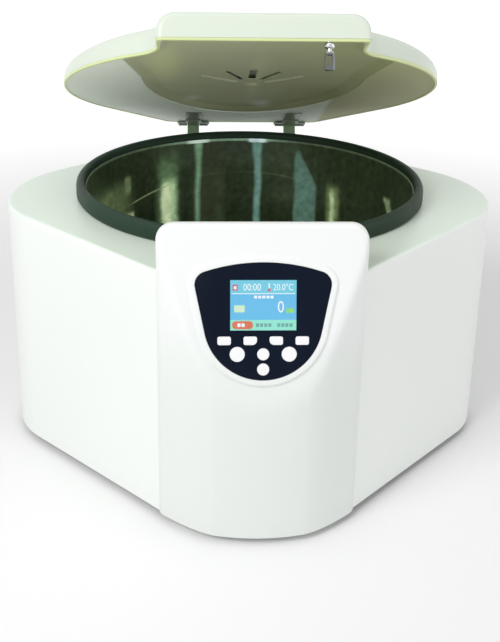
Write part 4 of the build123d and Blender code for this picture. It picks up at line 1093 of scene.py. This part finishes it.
def dishReach():
    # Half an ellipse behind the waist and flared sides ahead of it, held inside the lid's own outline
    turn = np.radians(np.linspace(0, 180, 121))
    oval = np.stack([dish["half"] * np.cos(turn), (dish["back"] + dish["waist"]) * np.sin(turn) - dish["waist"]], 1)
    ahead = np.linspace(4, dish["flaredTo"], 60)
    flared = dish["half"] + dish["flare"] * ahead
    right = np.stack([flared, -dish["waist"] - ahead], 1)
    front = np.stack([np.linspace(flared[-1], -flared[-1], 61)[1:-1], np.full(59, right[-1, 1])], 1)
    own = byAngle(np.vstack([oval, (right * (-1, 1)), front[::-1], right[::-1]]))
    reach = -smoothMax(-own, -byAngle(lidLoop(dish["rim"])), dish["blend"])
    window = np.hanning(2 * dish["smooth"] + 1)
    wrapped = np.concatenate([reach[-dish["smooth"]:], reach, reach[:dish["smooth"]]])
    return np.convolve(wrapped, window / window.sum(), "valid")


def loopAt(reach, z):
    angle = np.linspace(-pi, pi, len(reach), endpoint=False)
    x, y = reach * np.cos(angle), dish["middle"] + reach * np.sin(angle)
    return np.stack([x, y, np.broadcast_to(z, reach.shape)], 1)


def buildFlange(reach):
    # A flat sheet inside the lid's lip, rolled over a little at its inner edge
    low = lid["underside"] + dish["recess"]
    high = low + dish["thick"]
    rim = byAngle(lidLoop(lid["wall"] + 0.1))
    rolled = [(reach + out, low + up) for out, up in ((1.6, 0.0), (0.7, 0.15), (0.2, 0.45))]
    rows = [(rim, low), *rolled, (reach, high), (rim, high)]
    grid = np.array([loopAt(r, z) for r, z in rows])[::-1]
    return loftPiece("lidFlange", grid, closeRows=True, creaseAngle=50)


fan = {
    "y": 9.0, "hub": 8.0, "bead": ((0.0, 0.3), (0.15, -0.5), (0.5, -0.75), (0.9, -0.5), (1.1, 0.3)),
    # each slot's angle, start, end and width
    "slots": ((-49, 22, 73, 3.4), (-23, 25, 75, 6.0), (0, 28, 78, 8.4), (23, 25, 75, 6.0), (49, 22, 73, 3.4)),
}


def fanSlots(out=0.0):
    # The outline of every slot, moved out by a margin
    loops = []
    for turn, near, far, wide in fan["slots"]:
        slot, lean = boxLoop((near + far) / 2, 0, far - near, wide, wide * 0.3, -out), radians(turn - 90)
        x = slot[:, 0] * cos(lean) - slot[:, 1] * sin(lean)
        loops.append(np.stack([x, fan["y"] + slot[:, 0] * sin(lean) + slot[:, 1] * cos(lean)], 1))
    return loops


def buildDish(reach):
    # A pan that falls away from the flange in a smooth step and then sags a little to its middle, with five slots
    # fanned out from a hub
    low = lid["underside"] + dish["recess"] + dish["thick"] + 0.05
    floor = lid["underside"] + dish["depth"]
    foot = floor - dish["sag"]
    levels = [(reach + dish["overlap"], low)]
    levels += [(reach - dish["slope"] * t, low + (foot - low) * smoothShare(t, 0, 1)) for t in np.linspace(0, 1, 15)]
    inner = reach - dish["slope"]
    levels += [(inner * k, floor - dish["sag"] * k ** 2) for k in np.linspace(0.95, 0.03, 20)]
    under = [loopAt(r, z) for r, z in levels[::-1]]
    upper = [loop + (0, 0, dish["thick"]) for loop in under[::-1]]
    piece = loftPiece("lidDish", np.array(under + upper), creaseAngle=50)
    cutters = [prismPiece("fanCut", loop, floor - 4, floor + 4) for loop in fanSlots()]
    return cutWith(piece, cutters, creaseAngle=50)


def buildFanRims():
    # A slim raised bead round the two outer slots, carried along each slot's outline
    floor = lid["underside"] + dish["depth"] - 0.1
    grids = [np.array([atHeight(fanSlots(out)[place], floor + z) for out, z in fan["bead"]]) for place in (0, 4)]
    rims = [loftPiece("fanRim", grid, closeRows=True, creaseAngle=60) for grid in grids]
    return joinPieces("fanRims", rims)


def buildHub():
    floor, r = lid["underside"] + dish["depth"], fan["hub"]
    section = ((0.5, -2.4), (r * 0.5, -2.3), (r * 0.72, -1.9), (r, -0.6), (r, 0.6), (0.5, 0.6))
    return loftPiece("fanHub", turned([(out, floor + up) for out, up in section], 48, (0.0, fan["y"])))


reach = dishReach()
dress(swingOpen(buildFlange(reach)), "flangePaint", "lid", "liner_paint", "lid_liner")
lidPan = joinPieces("lidDish", [buildDish(reach), buildHub()])
dress(swingOpen(lidPan), "dishShadedSatin", "lid", "liner_paint", "lid_liner")
dress(swingOpen(buildFanRims()), "rimHighlightSatin", "lid", "liner_paint", "lid_liner")
print("lid made")

striker = {
    "x": 61.0, "y": -231.0, "head": 5.0, "headHeight": 6.5, "neck": 2.4, "core": 0.3, "stud": 8.5, "length": 17.5,
    "width": 10.4, "thick": 4.6, "window": (5.2, 10.0), "taper": 0.9, "corners": (2.2, 2.2, 1.6, 1.6),
}


def buildStriker():
    # A turned stud with a domed head, and below it a thick plate with a window, a little narrower at its top
    top = lid["underside"] + dish["depth"] * 0.1
    base = lid["underside"] - striker["stud"]
    r, tall, neck = striker["head"], striker["headHeight"], striker["neck"]
    bulge = np.radians(np.linspace(-60, 90, 14))
    middle = lid["underside"] - tall * 0.45
    stud = [(striker["core"], top), (r * 0.8, top), (r * 0.8, middle + tall * 0.4)]
    stud += list(zip(r * 0.5 + r * 0.5 * np.cos(bulge[::-1]), middle + tall * 0.42 * np.sin(bulge[::-1])))
    stud += [(neck, middle - tall * 0.5), (neck, base - 0.5), (striker["core"], base - 1.0)]
    post = loftPiece("strikerStud", turned(stud[::-1], 48, (striker["x"], striker["y"])))
    half, thick, tip = striker["width"] / 2, striker["thick"] / 2, base - striker["length"]
    narrow = half - striker["taper"]
    shape = roundedLoop([(-half, tip), (half, tip), (narrow, base), (-narrow, base)], striker["corners"], count=8)
    hole = boxLoop(-0.3, (base + tip) / 2 + 0.6, *striker["window"], 0.7)

    def slab(name, loop, rows):
        grid = [standing(loop * (k, 1) + (striker["x"], 0), striker["y"] + y) for y, k in rows]
        piece = loftPiece(name, np.array(grid))
        piece.data.flip_normals()
        return piece

    plateRows = [(-thick, 0.9), (-thick + 0.5, 1.0), (thick - 0.5, 1.0), (thick, 0.9)]
    loopPlate = cutWith(slab("strikerPlate", shape, plateRows), [slab("windowCut", hole, [(-5, 1), (5, 1)])])
    return joinPieces("lidStriker", [post, loopPlate])


dress(swingOpen(buildStriker()), "strikerChrome", "lid", "bright_chrome", "lid_striker")

# Finishes for the nodes that keep their own shape

nodeFinishes = {
    "zincPlate": "base_plate guard_barrel motor_plate motor_stator motor_core power_unit lock_solenoid rear_plate",
    "blackRubber": "feet motor_dampers spindle_boot",
    "blackPlastic": "display_module key_switches lock_housing power_inlet fuse_holder switch_frame power_rocker",
    "castAlloy": "motor_housing drive_unit",
    "groundSteel": "motor_bearings motor_shaft hinge_pins lock_bolt rear_screws head_pins",
    "turnedAlloy": "rotor_head rotor_nut bucket_1 bucket_2 bucket_3 bucket_4",
    "boardGreen": "control_board",
    "bracketSteel": "hinge_brackets",
    "hingeSteel": "hinge_leaves",
}
for finish, names in nodeFinishes.items():
    for name in names.split():
        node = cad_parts[name]
        node.data.materials.clear()
        node.data.materials.append(materials[finish])
print("finishes given")


# Floor, lights and camera

def pathLevel(tree, unseen, seen):
    # One level for rays that light the machine, another for the eye, for gloss and for glass
    light = addNode(tree, "LightPath", {})
    both = mathNode(tree, "ADD", light["Is Camera Ray"], light["Is Glossy Ray"], clamp=True)
    every = mathNode(tree, "ADD", both, light["Is Transmission Ray"], clamp=True)
    return addNode(tree, "MapRange", {"Value": every, "To Min": unseen, "To Max": seen})["Result"]


stage = {"size": 14000.0, "floor": 0.92, "nearGlow": 0.0, "farGlow": 0.66, "near": 0.45, "far": 2.1, "world": 0.5}


def buildStage():
    # The floor shows nearly white, and keeps the shadow under the machine
    half = stage["size"]
    floor = makePiece("floor", [(-half, -half, 0), (half, -half, 0), (half, half, 0), (-half, half, 0)], [[0, 1, 2, 3]])
    material, tree, shader, place = newMaterial("paleFloor")
    away = vectorNode(tree, "LENGTH", {0: place})
    glow = stepNode(tree, away, stage["near"], stage["far"], stage["nearGlow"], stage["farGlow"])
    connect(tree, shader, {
        "Base Color": (stage["floor"],) * 3, "Roughness": 0.5, "Specular IOR Level": 0.2,
        "Emission Color": (1, 1, 1), "Emission Strength": mathNode(tree, "MULTIPLY", glow, pathLevel(tree, 0.0, 1.0)),
    })
    floor.data.materials.append(material)


def buildWorld():
    world = bpy.data.worlds.new("studio")
    bpy.context.scene.world = world
    world.use_nodes = True
    tree = world.node_tree
    light = {"Color": (1, 1, 1), "Strength": pathLevel(tree, stage["world"], 1.0)}
    connect(tree, tree.nodes["Background"].inputs, light)


lamps = {
    # place, aim, size (m) and power
    "keyLamp": ((-1.2, -1.5, 1.6), (0.0, 0.0, 0.25), 1.2, 27.0),
    "fillLamp": ((1.98, -0.77, 0.75), (0.0, 0.0, 0.2), 1.6, 8.0),
    "topLamp": ((0.0, -0.3, 2.5), (0.0, 0.0, 0.2), 2.0, 8.0),
}


def buildLamps():
    for name, (place, aim, size, power) in lamps.items():
        light = bpy.data.lights.new(name, "AREA")
        light.shape, light.size, light.energy = "DISK", size, power
        holder = newObject(name, light)
        holder.location = Vector(place)
        holder.rotation_mode = "QUATERNION"
        holder.rotation_quaternion = (Vector(aim) - Vector(place)).to_track_quat("-Z", "Y")


view = {
    "x": -73.0, "y": -1302.7, "z": 698.4, "yaw": 0.0586, "pitch": 0.4206, "roll": 0.0205,
    "focalPixels": 1189.5, "longSide": 642, "sensor": 36.0, "near": 0.05, "far": 60.0,
}


def buildCamera():
    camera = bpy.data.cameras.new("camera")
    camera.sensor_width = view["sensor"]
    camera.lens = view["focalPixels"] / view["longSide"] * view["sensor"]
    camera.clip_start, camera.clip_end = view["near"], view["far"]
    holder = newObject("camera", camera)
    yaw, pitch, roll = view["yaw"], view["pitch"], view["roll"]
    forward = Vector((sin(yaw) * cos(pitch), cos(yaw) * cos(pitch), -sin(pitch)))
    right = Vector((cos(yaw), -sin(yaw), 0))
    up = right.cross(forward)
    rolledRight = right * cos(roll) + up * sin(roll)
    rolledUp = up * cos(roll) - right * sin(roll)
    turn = Matrix((rolledRight, rolledUp, -forward)).transposed()
    place = Matrix.Translation((view["x"] * mm, view["y"] * mm + axisY, view["z"] * mm))
    holder.matrix_world = place @ turn.to_4x4()
    bpy.context.scene.camera = holder


buildStage()
buildWorld()
buildLamps()
buildCamera()
bpy.context.scene.view_settings.view_transform = "Standard"
